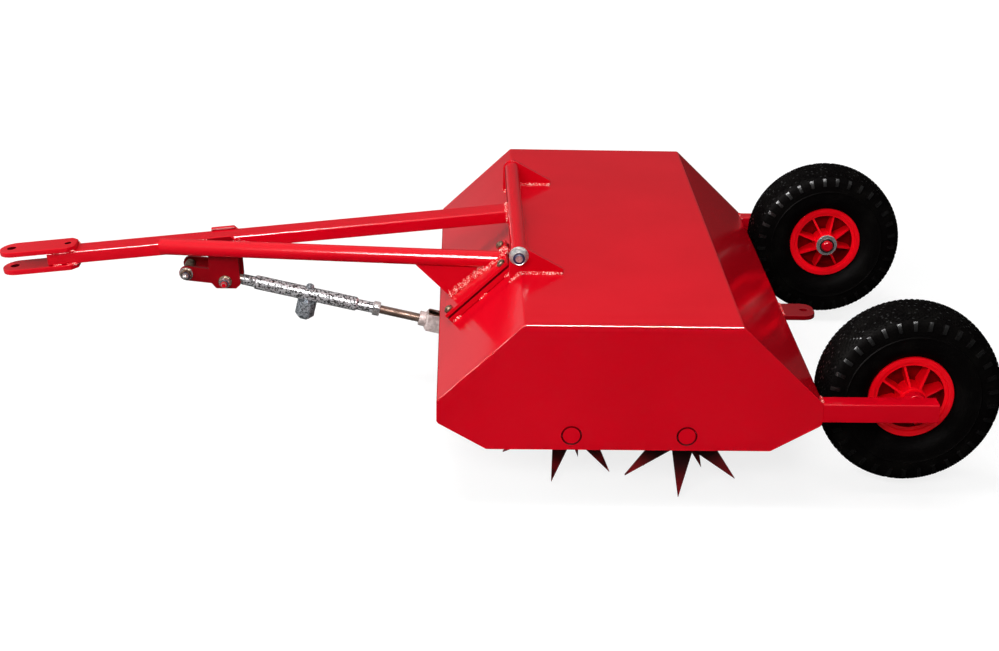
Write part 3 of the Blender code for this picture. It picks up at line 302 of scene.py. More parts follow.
# Dull dark paint for seams, also used as painted shade in gaps and holes.
make_enamel("seam_and_shade_paint", colour(96, 0, 8), colour(58, 0, 5), 0.45, soot=0.5, ior=1.05)
# The welds' pale spots are painted glints.
make_enamel("weld_enamel", colour(220, 16, 34), colour(196, 6, 26), 0.06, glint=0.9)
print("enamels:", sorted(FINISHES))

# %% [markdown]
# ## Moulded plastic
# The rims are injection moulded in red. Coloured plastic is brighter than paint and softer
# in its shine, and it shows the faint texture of its mould. The web between the ribs is
# painted a darker red as painted shade, since it lies deep between them. The bushes are
# cream nylon, and the nuts hold a ring of blue nylon. All of them are one recipe: two close
# colours, a soft shine and a fine skin.

# %% Mix the plastics
SKIN_DEPTH = 0.0001


def make_plastic(name, ior, first, second, cloud, roughness, shimmer, skin=None):
    """Plastic between two colours, where cloud is a noise's waves to a metre and its detail."""
    finish = Finish(name, IOR=ior)
    finish.vary(
        Base_Color=finish.mix(finish.grain(*cloud), first, second),
        Roughness=roughness + 0.10 * finish.grain(shimmer),
    )
    if skin:
        finish.relief(finish.grain(skin, 1.0), SKIN_DEPTH)


make_plastic("rim_plastic", 1.26, colour(255, 2, 25), colour(246, 1, 21), (20, 2.0), 0.32, 90, 900)
# The web's darker red is painted shade.
make_plastic("rim_web_shade", 1.12, colour(138, 0, 8), colour(100, 0, 5), (40, 3.0), 0.50, 90)
make_plastic("bush_nylon", 1.5, colour(226, 222, 205), colour(205, 200, 182), (120, 2.0), 0.45, 200, 800)
make_plastic("nut_nylon", 1.5, colour(18, 20, 74), colour(10, 12, 48), (120, 2.0), 0.45, 200, 800)
make_plastic("thread_pink", 1.5, colour(206, 150, 140), colour(176, 108, 100), (120, 2.0), 0.45, 200, 800)
print("finishes so far:", len(FINISHES))

# %% [markdown]
# ## Tyre rubber
# New rubber is nearly black and satin. A little dust greys it in patches, and a fine pebble
# from the mould breaks the highlights up. Handling polishes the bars on the shoulder and
# some of the tread's knobs, so they shine more than the wall does.

# %% Mix the rubber
def make_rubber(name, roughness, ior):
    """Black rubber with dust, as rough as the mould left it."""
    finish = Finish(name, IOR=ior)
    dust = finish.grain(30, 4.0).between(0.45, 0.75)
    finish.vary(
        Base_Color=finish.mix(dust, colour(5, 4, 4), colour(12, 11, 10)),
        Roughness=roughness + 0.16 * finish.grain(45, 3.0),
    )
    finish.relief(finish.grain(420), 0.0003)


make_rubber("tyre_rubber", 0.46, 1.04)
make_rubber("polished_bar", 0.20, 1.36)
make_rubber("worn_knob", 0.28, 1.26)
print("finishes so far:", len(FINISHES))

# %% [markdown]
# ## Bare and plated steel
# The nuts and bolts are zinc plated, some bright and some dull, and the washers shine like
# chrome. The turnbuckle is rough galvanised steel with a strong light and dark mottle, the
# rod in it is bare and turning brown, and the fork is a pale casting. Each metal is patches
# of two tones, and the darker tone is also the rougher one.

# %% Mix the metals
def make_metal(name, light, dark, patch, edge, roughness, depth, bumps, metallic=1.0):
    """A metal in patches: patch is their waves to a metre, and edge how soft they end."""
    finish = Finish(name, Metallic=metallic)
    tone = finish.grain(patch, 4.0).between(0.5 - edge, 0.5 + edge)
    finish.vary(Base_Color=finish.mix(tone, dark, light), Roughness=roughness + 0.18 * (1 - tone))
    finish.relief(finish.grain(bumps, 3.0), depth)


make_metal("bright_zinc", colour(226, 222, 216), colour(150, 148, 152), 300, 0.20, 0.22, 0.0002, 600, 0.65)
make_metal("galvanised_steel", colour(222, 222, 224), colour(46, 44, 44), 330, 0.06, 0.26, 0.0003, 420, 0.40)
make_metal("bare_rod", colour(176, 156, 144), colour(118, 98, 88), 60, 0.25, 0.28, 0.0001, 600, 0.80)
make_metal("fork_casting", colour(222, 208, 204), colour(178, 160, 156), 160, 0.16, 0.50, 0.0003, 420, 0.25)
make_metal("knob_steel", colour(206, 212, 218), colour(84, 90, 96), 380, 0.12, 0.30, 0.0004, 420, 0.65)
make_metal("dull_bolt", colour(168, 148, 124), colour(74, 62, 50), 300, 0.15, 0.32, 0.0002, 500, 0.80)
make_metal("dark_ring", colour(70, 66, 64), colour(36, 34, 34), 150, 0.20, 0.38, 0.0001, 500)
make_metal("chrome_washer", colour(236, 234, 232), colour(200, 198, 198), 90, 0.25, 0.12, 0.00005, 500, 0.80)
print("finishes:", len(FINISHES))

# %% [markdown]
# ## Storing a piece
# Each piece starts as a bmesh and ends as an object that rides on one of the bodies. Its
# faces are smooth, but edges that turn a real corner stay sharp. A Weighted Normal modifier
# keeps large faces flat beside a narrow bevel, which otherwise would shade them unevenly.

# %% Finish and store a piece
MERGE = 0.000005
SMOOTH_UNDER = math.radians(40)


def store(bm, name, body, finish, replaced=(), turn_out=True, also=()):
    """Make a bmesh an object of the scene, on its body and in its finish or finishes."""
    bmesh.ops.remove_doubles(bm, verts=bm.verts, dist=MERGE)
    if turn_out:
        bmesh.ops.recalc_face_normals(bm, faces=bm.faces)
    mesh = bpy.data.meshes.new(name)
    bm.to_mesh(mesh)
    bm.free()
    for title in (finish, *also):
        mesh.materials.append(FINISHES[title])
    mesh.shade_smooth()
    mesh.set_sharp_from_angle(angle=SMOOTH_UNDER)
    piece = bpy.data.objects.new(name, mesh)
    bpy.context.scene.collection.objects.link(piece)
    flatten = piece.modifiers.new("flat_faces_stay_flat", "WEIGHTED_NORMAL")
    flatten.keep_sharp = True
    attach(piece, body)
    if replaced:
        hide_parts(*replaced)
    return piece


def refinish(piece, finish, keep):
    """Give the faces that a test keeps a finish of their own."""
    mesh = piece.data
    mesh.materials.append(FINISHES[finish])
    faces = [face for face in mesh.polygons if keep(face)]
    for face in faces:
        face.material_index = len(mesh.materials) - 1
    print(piece.name, "has", len(faces), "faces in", finish)


# %% [markdown]
# ## Easing edges
# CAD faces meet at knife edges, and real steel never does. Most plates are therefore made
# again from their CAD node with a small bevel, which is what catches the light along an
# edge. The node's loose triangles are joined first, because a bevel needs whole faces.

# %% Ease the edges of a CAD node
EASE_OVER = math.radians(28)
FLAT_WITHIN = math.radians(0.4)


def cad_copy(node):
    """A node's mesh with its loose triangles joined and its flat faces made whole."""
    bm = bmesh.new()
    bm.from_mesh(frame["nodes"][node].data)
    bmesh.ops.remove_doubles(bm, verts=bm.verts, dist=MERGE)
    bmesh.ops.dissolve_limit(bm, angle_limit=FLAT_WITHIN, verts=bm.verts, edges=bm.edges)
    return bm


def sharp_edges(bm, keep=None):
    """The edges that turn a corner, or those of them that a test keeps."""
    edges = [edge for edge in bm.edges if edge.is_manifold and edge.calc_face_angle(0) > EASE_OVER]
    return [edge for edge in edges if keep is None or keep(edge)]


def is_long(edge):
    """Whether an edge is more than one short side of a round hole or boss."""
    return edge.calc_length() > 0.004


def bevel(bm, geom, width, steps=2, affect="EDGES"):
    """Round edges or corners off."""
    bmesh.ops.bevel(bm, geom=geom, offset=width, offset_type="OFFSET", segments=steps, profile=0.5,
                    affect=affect, clamp_overlap=True, material=-1)


def ease(node, finish, width, steps=2, keep=None):
    """Stand in for a node with a copy of it whose edges are rounded."""
    bm = cad_copy(node)
    bevel(bm, sharp_edges(bm, keep), width, steps)
    print(node, "eased,", len(bm.faces), "faces")
    return store(bm, f"{node}_eased", BODY_OF[node], finish, [node], turn_out=False)


print("edges eased over", round(math.degrees(EASE_OVER)), "degrees")

# %% [markdown]
# ## Turned shapes
# Washers, tyres, rims and bolts are all turned round an axis, as on a lathe. Each is a
# profile of (radius, height) pairs and one spin with use_merge, which closes the ring. A
# place is a matrix whose Z is the axis, so the same profile can stand anywhere.

# %% Turn and place shapes
def facing(point, axis, turn=0.0):
    """A place whose Z runs along the axis from the point."""
    spin = Vector(axis).to_track_quat("Z", "Y").to_matrix().to_4x4()
    return Matrix.Translation(point) @ spin @ Matrix.Rotation(turn, 4, "Z")


def inward(centre, y):
    """A place on a centre line that runs along +Y, at a given y."""
    return facing(Vector((centre.x, y, centre.z)), (0, 1, 0))


def add_turned(bm, place, profile, steps, closed=False):
    """Spin a profile of (radius, height) pairs round a place's Z."""
    verts = [bm.verts.new(place @ Vector((radius, 0, height))) for radius, height in profile]
    edges = [bm.edges.new(pair) for pair in zip(verts, verts[1:])]
    if closed:
        edges.append(bm.edges.new((verts[-1], verts[0])))
    bmesh.ops.spin(bm, geom=verts + edges, cent=place.translation, axis=place.col[2].xyz, dvec=(0, 0, 0),
                   angle=2 * math.pi, steps=steps, use_merge=True, use_duplicate=False)
    bmesh.ops.remove_doubles(bm, verts=bm.verts, dist=MERGE)


def turned(name, body, finish, place, profile, steps, closed=False, replaced=()):
    """A piece that is one turned shape."""
    bm = bmesh.new()
    add_turned(bm, place, profile, steps, closed)
    print(name, "turned in", steps, "steps")
    return store(bm, name, body, finish, replaced)


print("axis of an inward place:", tuple(round(value) for value in inward(ORIGIN, 0).col[2].xyz))

# %% [markdown]
# ## The hood
# One sheet is folded over four bends, and a plate closes each side. On the real hood the
# corner between sheet and plate is welded, ground round and painted over, so no seam shows.
# The copy of the sheet therefore reaches the plates, and only the plates' outer edges are
# rounded, wide enough to draw the long highlight of the photograph. The plate's lower edge
# is only broken, and a small groove goes round each bore, where the paint bridges the gap
# between the plate and the end of its axle.

# %% Dress the hood
CORNER_ROUND, EDGE_BREAK, GROOVE = 0.0039, 0.0010, 0.0011
STRIP_BOTTOM = 0.0395
NEAR_BORE = 0.0008
LOWER_EDGE_LENGTH = 0.05
AXLES = [middle(f"{end}_axle") for end in ("front", "rear")]
axle_low, axle_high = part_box("front_axle")
AXLE_RADIUS = (axle_high.z - axle_low.z) / 2


def off_axle(point):
    """A point's distance from the nearer axle's centre line."""
    return min(math.hypot(point.x - axle.x, point.z - axle.z) for axle in AXLES)


def height_of(edge):
    """How high an edge reaches over the hood's lower edge."""
    return max(vert.co.z for vert in edge.verts) - ORIGIN.z


PLATE_EDGES = (   # a test for the corner, the bores and the free lower edge, with width and steps
    (lambda edge: height_of(edge) > STRIP_BOTTOM + 0.001, CORNER_ROUND, 5),
    (lambda edge: max(off_axle(vert.co) for vert in edge.verts) < AXLE_RADIUS + NEAR_BORE, GROOVE, 1),
    (lambda edge: height_of(edge) < STRIP_BOTTOM and edge.calc_length() > LOWER_EDGE_LENGTH, EDGE_BREAK, 2),
)
sheet = cad_copy("hood_sheet")
for vert in sheet.verts:
    if abs(vert.co.y) > PLATE_INNER - 0.001:
        vert.co.y = math.copysign(PLATE_INNER, vert.co.y)
store(sheet, "hood_skin", "hood", "red_enamel", ["hood_sheet"], turn_out=False)
for side in ("left", "right"):
    plate = cad_copy(f"end_plate_{side}")
    for keep, width, steps in PLATE_EDGES:
        outer = [edge for edge in sharp_edges(plate, keep)
                 if all(abs(vert.co.y) > SIDE_FACE - MERGE * 4 for vert in edge.verts)]
        bevel(plate, outer, width, steps)
    piece = store(plate, f"side_plate_{side}", "hood", "red_enamel", [f"end_plate_{side}"], turn_out=False)
    refinish(piece, "seam_and_shade_paint",
             lambda face: off_axle(face.center) < AXLE_RADIUS + GROOVE and abs(face.normal.y) < 0.95)
print("hood rounded by", CORNER_ROUND * 1000, "mm")

# %% [markdown]
# ## Plates, tubes and lugs
# These are plain steel sections, cut, drilled and welded. A real cut edge is dressed with a
# grinder before paint, so a bevel of about a millimetre is all that each needs. A list of
# widths keeps them in one place. The chamfers at the axles' ends take the dull seam paint,
# which draws the thin dark ring round each end.

# %% Ease the painted steel
EASED = {
    "pivot_ear_left": 0.0010, "pivot_ear_right": 0.0010, "pivot_tube": 0.0008,
    "stop_plate": 0.0012, "stop_flange": 0.0014, "drawbar_tube": 0.0021,
    "drawbar_brace": 0.0009, "brace_gusset": 0.0007,
    "clevis_plate_upper": 0.0014, "clevis_plate_lower": 0.0014,
    "bracket_plate_left": 0.0009, "bracket_plate_right": 0.0009,
    "top_link_lug": 0.0010, "rear_hitch_lug": 0.0014,
    "wheel_arm_left": 0.0024, "wheel_arm_right": 0.0024,
    "stub_axle_left": 0.0014, "stub_axle_right": 0.0014,
    "front_axle": 0.0011, "rear_axle": 0.0011,
}
# These pieces take the darker copy of the enamel as painted shade.
IN_THE_SHADE = ("bracket_plate_left", "bracket_plate_right", "rear_hitch_lug")
STEEL = {node: ease(node, "painted_shade_enamel" if node in IN_THE_SHADE else "red_enamel", width)
         for node, width in EASED.items()}
for end in ("front", "rear"):
    refinish(STEEL[f"{end}_axle"], "seam_and_shade_paint", lambda face: 0.05 < abs(face.normal.y) < 0.95)
print("axle ends", round(AXLE_RADIUS * 2000, 1), "mm across")

# %% [markdown]
# ## Star rollers
# Each roller is a tube with ten flat stars. The stars are cut from 5 mm plate. Their paint
# is scuffed, their red is darker as painted shade, and their edges are only broken.
# The short edges round the tube and its bore are left out, because a bevel there would
# double the faces and never be seen.

# %% Ease the stars
for end in ("front", "rear"):
    ease(f"{end}_star_roller", f"{end}_tine_dirt_and_shade", 0.0006, 1, keep=is_long)

# %% [markdown]
# ## Nuts, washers and lock nuts
# A hexagon head is a prism whose corners are cut back by a cone. A narrow bevel on all its
# edges looks the same at this size. A lock nut has a round crown over its hexagon, and in
# the crown sits the ring of nylon that grips the bolt's thread.

# %% Make hexagons, washers and lock nuts
ROUND = 28
HEXAGON_SHARE, CROWN_SHARE, LIP_SHARE = 0.68, 0.93, 0.85
NUT_TURN = math.radians(12)


def add_hexagon(bm, place, flats, height, chamfer=0.0009):
    """A hexagon with broken edges that stands on a place."""
    radius = flats / math.sqrt(3)
    made = bmesh.ops.create_cone(bm, cap_ends=True, segments=6, radius1=radius, radius2=radius,
                                 depth=height, matrix=place @ Matrix.Translation((0, 0, height / 2)))
    bevel(bm, list({edge for vert in made["verts"] for edge in vert.link_edges}), chamfer, 1)


def washer(name, body, finish, place, radius, bore, height, replaced=()):
    """A flat ring that stands on a place, with broken edges."""
    edge = min(0.0004, height / 3)
    profile = [(bore, 0), (radius - edge, 0), (radius, edge), (radius, height - edge),
               (radius - edge, height), (bore, height)]
    turned(name, body, finish, place, profile, ROUND, closed=True, replaced=replaced)


def lock_nut(name, node, flats, shank, finish="bright_zinc"):
    """A nut on a bolt's left end, with the ring of nylon in its crown."""
    low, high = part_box(node)
    height = high.y - low.y
    place = facing(Vector((middle(node).x, high.y, middle(node).z)), (0, -1, 0), NUT_TURN)
    hexagon = height * HEXAGON_SHARE
    crown = flats / 2 * CROWN_SHARE
    lip = crown * LIP_SHARE
    bm = bmesh.new()
    add_hexagon(bm, place, flats, hexagon)
    profile = [(crown, hexagon - 0.001), (crown, height * 0.86), (crown * 0.96, height * 0.95),
               (lip + 0.0006, height), (lip, height - 0.0004), (lip, hexagon - 0.001)]
    add_turned(bm, place, profile, ROUND, closed=True)
    store(bm, f"{name}_nut", BODY_OF[node], finish, [node])
    ring = [(shank + 0.0001, hexagon), (lip - 0.0001, hexagon), (lip - 0.0001, height - 0.0003),
            (shank + 0.0010, height - 0.0001), (shank + 0.0001, height - 0.0006)]
    turned(f"{name}_nylon_ring", BODY_OF[node], "nut_nylon", place, ring, ROUND, closed=True)


print("a lock nut's hexagon takes", HEXAGON_SHARE, "of its height")

# %% [markdown]
# ## The pivot's bolt
# One long bolt goes through both ears and the drawbar's tube. Its nut faces the camera, and
# in the photograph the end of the bolt shows pink in a blue lip, where overspray has worn
# off the thread. The lip and the pink end are thin turned shapes that sit on the bolt.

# %% Fit the pivot's bolt
PIVOT = middle("pivot_tube")
SHANK, TIP_CHAMFER = 0.0065, 0.0012
PIVOT_FLATS, PIVOT_HEAD_FLATS, PIVOT_HEAD = 0.022, 0.0205, 0.0066
PIVOT_WASHER_RADIUS = 0.014
PINK = SHANK * 0.80
bolt_low, bolt_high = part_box("pivot_bolt")
washer_low, washer_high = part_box("pivot_washer")
shank_length = bolt_high.y - bolt_low.y - PIVOT_HEAD
bolt_end = inward(PIVOT, bolt_low.y)
lock_nut("pivot", "pivot_nut", PIVOT_FLATS, SHANK)
bolt = bmesh.new()
add_turned(bolt, bolt_end, [(0, 0), (SHANK - TIP_CHAMFER, 0), (SHANK, TIP_CHAMFER), (SHANK, shank_length),
                            (0, shank_length)], 24)
add_hexagon(bolt, inward(PIVOT, bolt_high.y - PIVOT_HEAD), PIVOT_HEAD_FLATS, PIVOT_HEAD)
store(bolt, "pivot_hexagon_bolt", "hood", "bright_zinc", ["pivot_bolt"])
turned("pivot_bolt_end", "hood", "thread_pink", inward(PIVOT, bolt_low.y + 0.0001),
       [(0, 0), (PINK, 0), (PINK, 0.0005), (0, 0.0005)], 24)
turned("pivot_nylon_lip", "hood", "nut_nylon", bolt_end,
       [(PINK, -0.0003), (SHANK + 0.0004, 0.0007), (SHANK + 0.0004, 0.0014), (PINK, 0.0006)],
       ROUND, closed=True)
washer("pivot_flat_washer", "hood", "bright_zinc", inward(PIVOT, washer_low.y), PIVOT_WASHER_RADIUS,
       SHANK + 0.0003, washer_high.y - washer_low.y, ["pivot_washer"])

# %% [markdown]
# ## The flange's bolts
# The drawbar comes down on a thick plate on the front slope and is held there by a flange
# and four bolts. A point on the slope is easier to give along it, across it and off it, so
# a helper turns those three into a place. Where flange and plate face each other, the gap
# between them lies in shade, so those faces get the dull seam paint as painted shade.

# %% Fit the flange's bolts
STRIP_TOP, HOOD_HEIGHT, SLOPE_RUN = 0.0715, 0.1836, 0.117
SLOPE = Vector((SLOPE_RUN, 0, HOOD_HEIGHT - STRIP_TOP)).normalized()
SLOPE_NORMAL = Vector((-SLOPE.z, 0, SLOPE.x))
FLANGE_TOP = 0.0163
FLANGE_BOLT_FLATS, FLANGE_BOLT_HEAD, FLANGE_BOLT_SHANK, FLANGE_BOLT_LENGTH = 0.0122, 0.0040, 0.0039, 0.0117
FLANGE_BOLT_CHAMFER = 0.0007
BOLT_TURN = 0.4   # each head stopped at its own angle


def on_slope(along, across, up=0.0):
    """A point on the front slope: along it from the strip, across the machine, and off it."""
    return ORIGIN + Vector((0, across, STRIP_TOP)) + SLOPE * along + SLOPE_NORMAL * up


for index in range(1, 5):
    node = f"stop_bolt_{index}"
    spot = middle(node) - ORIGIN - Vector((0, 0, STRIP_TOP))
    head = on_slope(spot.dot(SLOPE), spot.y, FLANGE_TOP + 0.0003)
    bm = bmesh.new()
    add_hexagon(bm, facing(head, SLOPE_NORMAL, BOLT_TURN * index), FLANGE_BOLT_FLATS, FLANGE_BOLT_HEAD,
                FLANGE_BOLT_CHAMFER)
    shank = [(0, 0), (FLANGE_BOLT_SHANK, 0), (FLANGE_BOLT_SHANK, FLANGE_BOLT_LENGTH - FLANGE_BOLT_CHAMFER),
             (FLANGE_BOLT_SHANK - FLANGE_BOLT_CHAMFER, FLANGE_BOLT_LENGTH), (0, FLANGE_BOLT_LENGTH)]
    add_turned(bm, facing(head - SLOPE_NORMAL * 0.006, SLOPE_NORMAL), shank, 16)
    store(bm, f"flange_bolt_{index}", "drawbar", "dull_bolt", [node])
# Facing faces of flange and plate are darkened as painted shade in the gap.
for node, low, high in (("stop_flange", -1.1, -0.3), ("stop_plate", 0.3, 0.95)):
    refinish(STEEL[node], "seam_and_shade_paint", lambda face: low < face.normal.dot(SLOPE_NORMAL) < high)
print("slope's length", round(math.hypot(SLOPE_RUN, HOOD_HEIGHT - STRIP_TOP), 4))

# %% [markdown]
# ## The bracket's bolts
# Two bolts cross the bracket under the drawbar. The front one ends in a long bare point.
# The rear one, which carries the top link, was painted red at its end with the frame. Both
# have a plain washer under the nut, which the CAD model leaves out, so it is added here.

# %% Fit the bracket's bolts
BRACKET_SHANK, BRACKET_FLATS, BRACKET_HEAD = 0.005, 0.0158, 0.0065
BRACKET_WASHER_RADIUS, BRACKET_WASHER_HEIGHT = 0.0102, 0.0016
BRACKET_BOLTS = {   # the tip's profile, the nut's finish and the washer's
    "front": ([(0.0024, 0.0004), (0.0042, 0.0024), (BRACKET_SHANK, 0.0050)], "dull_bolt", "chrome_washer"),
    "rear": ([(0.0034, 0), (BRACKET_SHANK, 0.0022)], "chrome_washer", "dull_bolt"),
}
PAINTED_END = [(0, -0.0001), (0.0032, -0.0001), (0.0046, 0.0016), (0.0051, 0.0022), (0.0051, 0.0050),
               (0, 0.0050)]
for end, (tip, of_nut, of_washer) in BRACKET_BOLTS.items():
    low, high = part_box(f"bracket_{end}_bolt")
    centre = middle(f"bracket_{end}_nut")
    reach = high.y - low.y - BRACKET_HEAD
    bm = bmesh.new()
    add_turned(bm, inward(centre, low.y), [(0, 0), *tip, (BRACKET_SHANK, reach), (0, reach)], 20)
    add_hexagon(bm, inward(centre, high.y - BRACKET_HEAD), BRACKET_FLATS, BRACKET_HEAD)
    store(bm, f"bracket_{end}_hexagon_bolt", "drawbar", "bright_zinc", [f"bracket_{end}_bolt"])
    lock_nut(f"bracket_{end}", f"bracket_{end}_nut", BRACKET_FLATS, BRACKET_SHANK, of_nut)
    _, nut_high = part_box(f"bracket_{end}_nut")
    washer(f"bracket_{end}_washer", "drawbar", of_washer, inward(centre, nut_high.y - BRACKET_WASHER_HEIGHT),
           BRACKET_WASHER_RADIUS, BRACKET_SHANK + 0.0002, BRACKET_WASHER_HEIGHT)
rear_end = inward(centre, low.y)   # the loop ends on the rear bolt
turned("bracket_rear_painted_end", "drawbar", "red_enamel", rear_end, PAINTED_END, 20)

# %% [markdown]
# ## The top link's axis
# A turnbuckle between hood and drawbar sets how deep the stars work. Everything on it is
# given along one line, from the fork's pin in the hood's lug to the bracket's rear bolt.

# %% Measure along the top link
FORK_PIN = Vector((middle("fork_pin").x, 0, middle("fork_pin").z))
LINK_PIN = Vector((middle("bracket_rear_nut").x, 0, middle("bracket_rear_nut").z))
LINK = (LINK_PIN - FORK_PIN).normalized()


def along_link(point):
    """A point's distance from the fork's pin along the top link."""
    return (point - FORK_PIN).dot(LINK)


def off_link(point):
    """A point's distance from the top link's axis."""
    arm = point - FORK_PIN
    return (arm - LINK * arm.dot(LINK)).length


print("top link", round(along_link(LINK_PIN), 4), "long")

# %% [markdown]
# ## The threaded rod
# A thread is a spin that also climbs: `dvec` moves the profile of one tooth along the axis
# by a share of the pitch at each step. The helix starts below the rod's foot and ends over
# its top. Two bisections then cut it flat, and the cuts are filled.

# %% Cut the rod's thread
ROD, THREAD_PITCH, THREAD_DEPTH = 0.007, 0.0020, 0.0008
ROD_START, ROD_END = 0.034, 0.1797


def add_thread(bm, place, radius, length, pitch, depth, sides=20):
    """A screw thread along a place's Z, cut flat and closed at both ends."""
    tooth = [(radius - depth, 0.0), (radius, 0.42), (radius, 0.58), (radius - depth, 1.0)]
    verts = [bm.verts.new(place @ Vector((r, 0, (share - 1) * pitch))) for r, share in tooth]
    edges = [bm.edges.new(pair) for pair in zip(verts, verts[1:])]
    axis = place.col[2].xyz
    turns = math.ceil(length / pitch) + 2
    bmesh.ops.spin(bm, geom=verts + edges, cent=place.translation, axis=axis, dvec=axis * pitch / sides,
                   angle=2 * math.pi * turns, steps=sides * turns, use_merge=False, use_duplicate=False)
    bmesh.ops.remove_doubles(bm, verts=bm.verts, dist=MERGE)
    for height, side in ((0, -1), (length, 1)):
        geom = [item for kind in (bm.verts, bm.edges, bm.faces) for item in kind]
        cut = bmesh.ops.bisect_plane(bm, geom=geom, plane_co=place @ Vector((0, 0, height)),
                                     plane_no=axis * side, clear_outer=True)
        rim_edges = [item for item in cut["geom_cut"] if isinstance(item, bmesh.types.BMEdge)]
        bmesh.ops.holes_fill(bm, edges=rim_edges, sides=0)


bm = bmesh.new()
rod_foot = facing(FORK_PIN + LINK * ROD_START, LINK)
add_thread(bm, rod_foot, ROD, ROD_END - ROD_START, THREAD_PITCH, THREAD_DEPTH)
print("rod's thread has", len(bm.faces), "faces")
store(bm, "rod_with_thread", "fork", "bare_rod", ["threaded_rod"])

# %% [markdown]
# ## The fork
# The fork is a pale casting with a slot for the hood's lug. In the photograph the slot runs
# a little deeper than in the CAD model, so the end of the slot is moved in the copy. Its
# shoulder gets a wide chamfer, its other edges are rounded, and the inside of the slot is
# painted in the darker dull bolt steel as painted shade.

# %% Dress the fork
SLOT_END, SLOT_HALF, SLOT_GROWS = 0.027, 0.0057, 0.0048
SHOULDER, SHOULDER_HALF, SHOULDER_CHAMFER, FORK_ROUND = 0.036, 0.0125, 0.0036, 0.0010
CLOSE = 0.0005
fork = cad_copy("fork_head")
for vert in fork.verts:
    if abs(along_link(vert.co) - SLOT_END) < CLOSE and abs(vert.co.y) < SLOT_HALF + CLOSE:
        vert.co += LINK * SLOT_GROWS


def across_shoulder(edge):
    """Whether an edge is one of the two across the fork's shoulder."""
    at_height = all(abs(along_link(vert.co) - SHOULDER) < CLOSE for vert in edge.verts)
    return at_height and max(abs(vert.co.y) for vert in edge.verts) > SHOULDER_HALF


bevel(fork, sharp_edges(fork, across_shoulder), SHOULDER_CHAMFER, 1)
bevel(fork, sharp_edges(fork, is_long), FORK_ROUND)
print("fork has", len(fork.faces), "faces")
piece = store(fork, "fork_head_eased", BODY_OF["fork_head"], "fork_casting", ["fork_head"], turn_out=False)
# The slot's faces get the darker finish as painted shade.
refinish(piece, "dull_bolt",
         lambda face: abs(face.center.y) < SLOT_HALF + 0.0002 and along_link(face.center) < SLOT_END + 0.006)
ease("fork_pin", "bright_zinc", 0.0008)

# %% [markdown]
# ## The turnbuckle
# The sleeve carries a cross pin and a knob to turn it by, and a thin nut locks it on the
# rod. The nut's corners are cut back like any nut's: here the bevel works on vertices, and
# takes the corners that stand furthest from the axis.

# %% Dress the lock nut, sleeve and knob
NUT_CORNER, NUT_CHAMFER = 0.011, 0.0022
nut = cad_copy("lock_nut")
bevel(nut, [vert for vert in nut.verts if off_link(vert.co) > NUT_CORNER], NUT_CHAMFER, affect="VERTICES")
store(nut, "top_link_lock_nut", BODY_OF["lock_nut"], "bright_zinc", ["lock_nut"], turn_out=False)
ease("turnbuckle_sleeve", "galvanised_steel", 0.0005, 1)
ease("turnbuckle_knob", "knob_steel", 0.0014)
ease("eye_rod", "bare_rod", 0.0008)
ease("bracket_spacer", "dull_bolt", 0.0005, 1)

# %% [markdown]
# ## A tyre's section
# The tyre is one closed profile spun round the axle: the wall with a thin raised ring, the
# shoulder, the tread, and inside them the hollow. The points of the outer side are joined
# by a smooth curve that passes through each of them, so a few points are enough.

# %% Draw the tyre's section
TYRE_RADIUS, TYRE_HALF = 0.130, 0.0425
KNOB_RISE, BAR_RISE = 0.0009, 0.0019
BEAD_RADIUS, BEAD_HALF = 0.0511, 0.0230
RING_RADIUS = 0.0955


def curve_through(points, steps):
    """A smooth curve through the points, with some steps between each pair."""
    ends = [Vector(points[0]), *map(Vector, points), Vector(points[-1])]
    curve = []
    for a, b, c, d in zip(ends, ends[1:], ends[2:], ends[3:]):
        for step in range(steps):
            t = step / steps
            bend = (2 * a - 5 * b + 4 * c - d) * t * t + (3 * b - a - 3 * c + d) * t * t * t
            curve.append(tuple((2 * b + (c - a) * t + bend) / 2))
    return curve + [tuple(points[-1])]


def mirror(half):
    """A profile and its mirror image on the other side of the middle."""
    return half + [(radius, -across) for radius, across in half[-2::-1]]


def tyre_section():
    """The tyre's closed section as (radius, distance from its middle)."""
    top = TYRE_RADIUS - KNOB_RISE - 0.0001
    half = TYRE_HALF - 0.0002
    wall = [(0.0617, BEAD_HALF), (0.0640, 0.0282), (0.0700, 0.0345), (0.0770, 0.0385), (0.0850, 0.0402)]
    ring = [(RING_RADIUS - 0.0018, 0.0406), (RING_RADIUS - 0.0008, 0.0418), (RING_RADIUS + 0.0004, 0.0418),
            (RING_RADIUS + 0.0014, 0.0407)]
    shoulder = [(0.0985, 0.0407), (0.1050, 0.0403), (0.1110, 0.0394), (0.1165, 0.0378), (0.1212, 0.0345),
                (0.1247, 0.0300), (0.1271, 0.0240), (0.1285, 0.0160), (top, 0.0080), (top, 0.0)]
    outer = [(radius, min(across, half)) for radius, across in curve_through(wall + ring + shoulder, 2)]
    inner = [(BEAD_RADIUS, -BEAD_HALF), (BEAD_RADIUS, -BEAD_HALF + 0.007), (0.062, -0.017), (0.0858, -0.034),
             (0.104, -0.034), (0.117, -0.0255), (0.1235, 0.0)]
    return mirror(outer) + mirror(inner)


print("tyre's section has", len(tyre_section()), "points")

# %% [markdown]
# ## The tread
# The shoulder carries a row of bars and the tread a fine pebble. Both are faces of the spun
# tyre that are inset and raised, so the pattern is in the shape and not only in the shading.
# A column and a row number for each face pick a chequer for the pebbles, and dice leave
# some out and polish others, because the real tread is irregular.

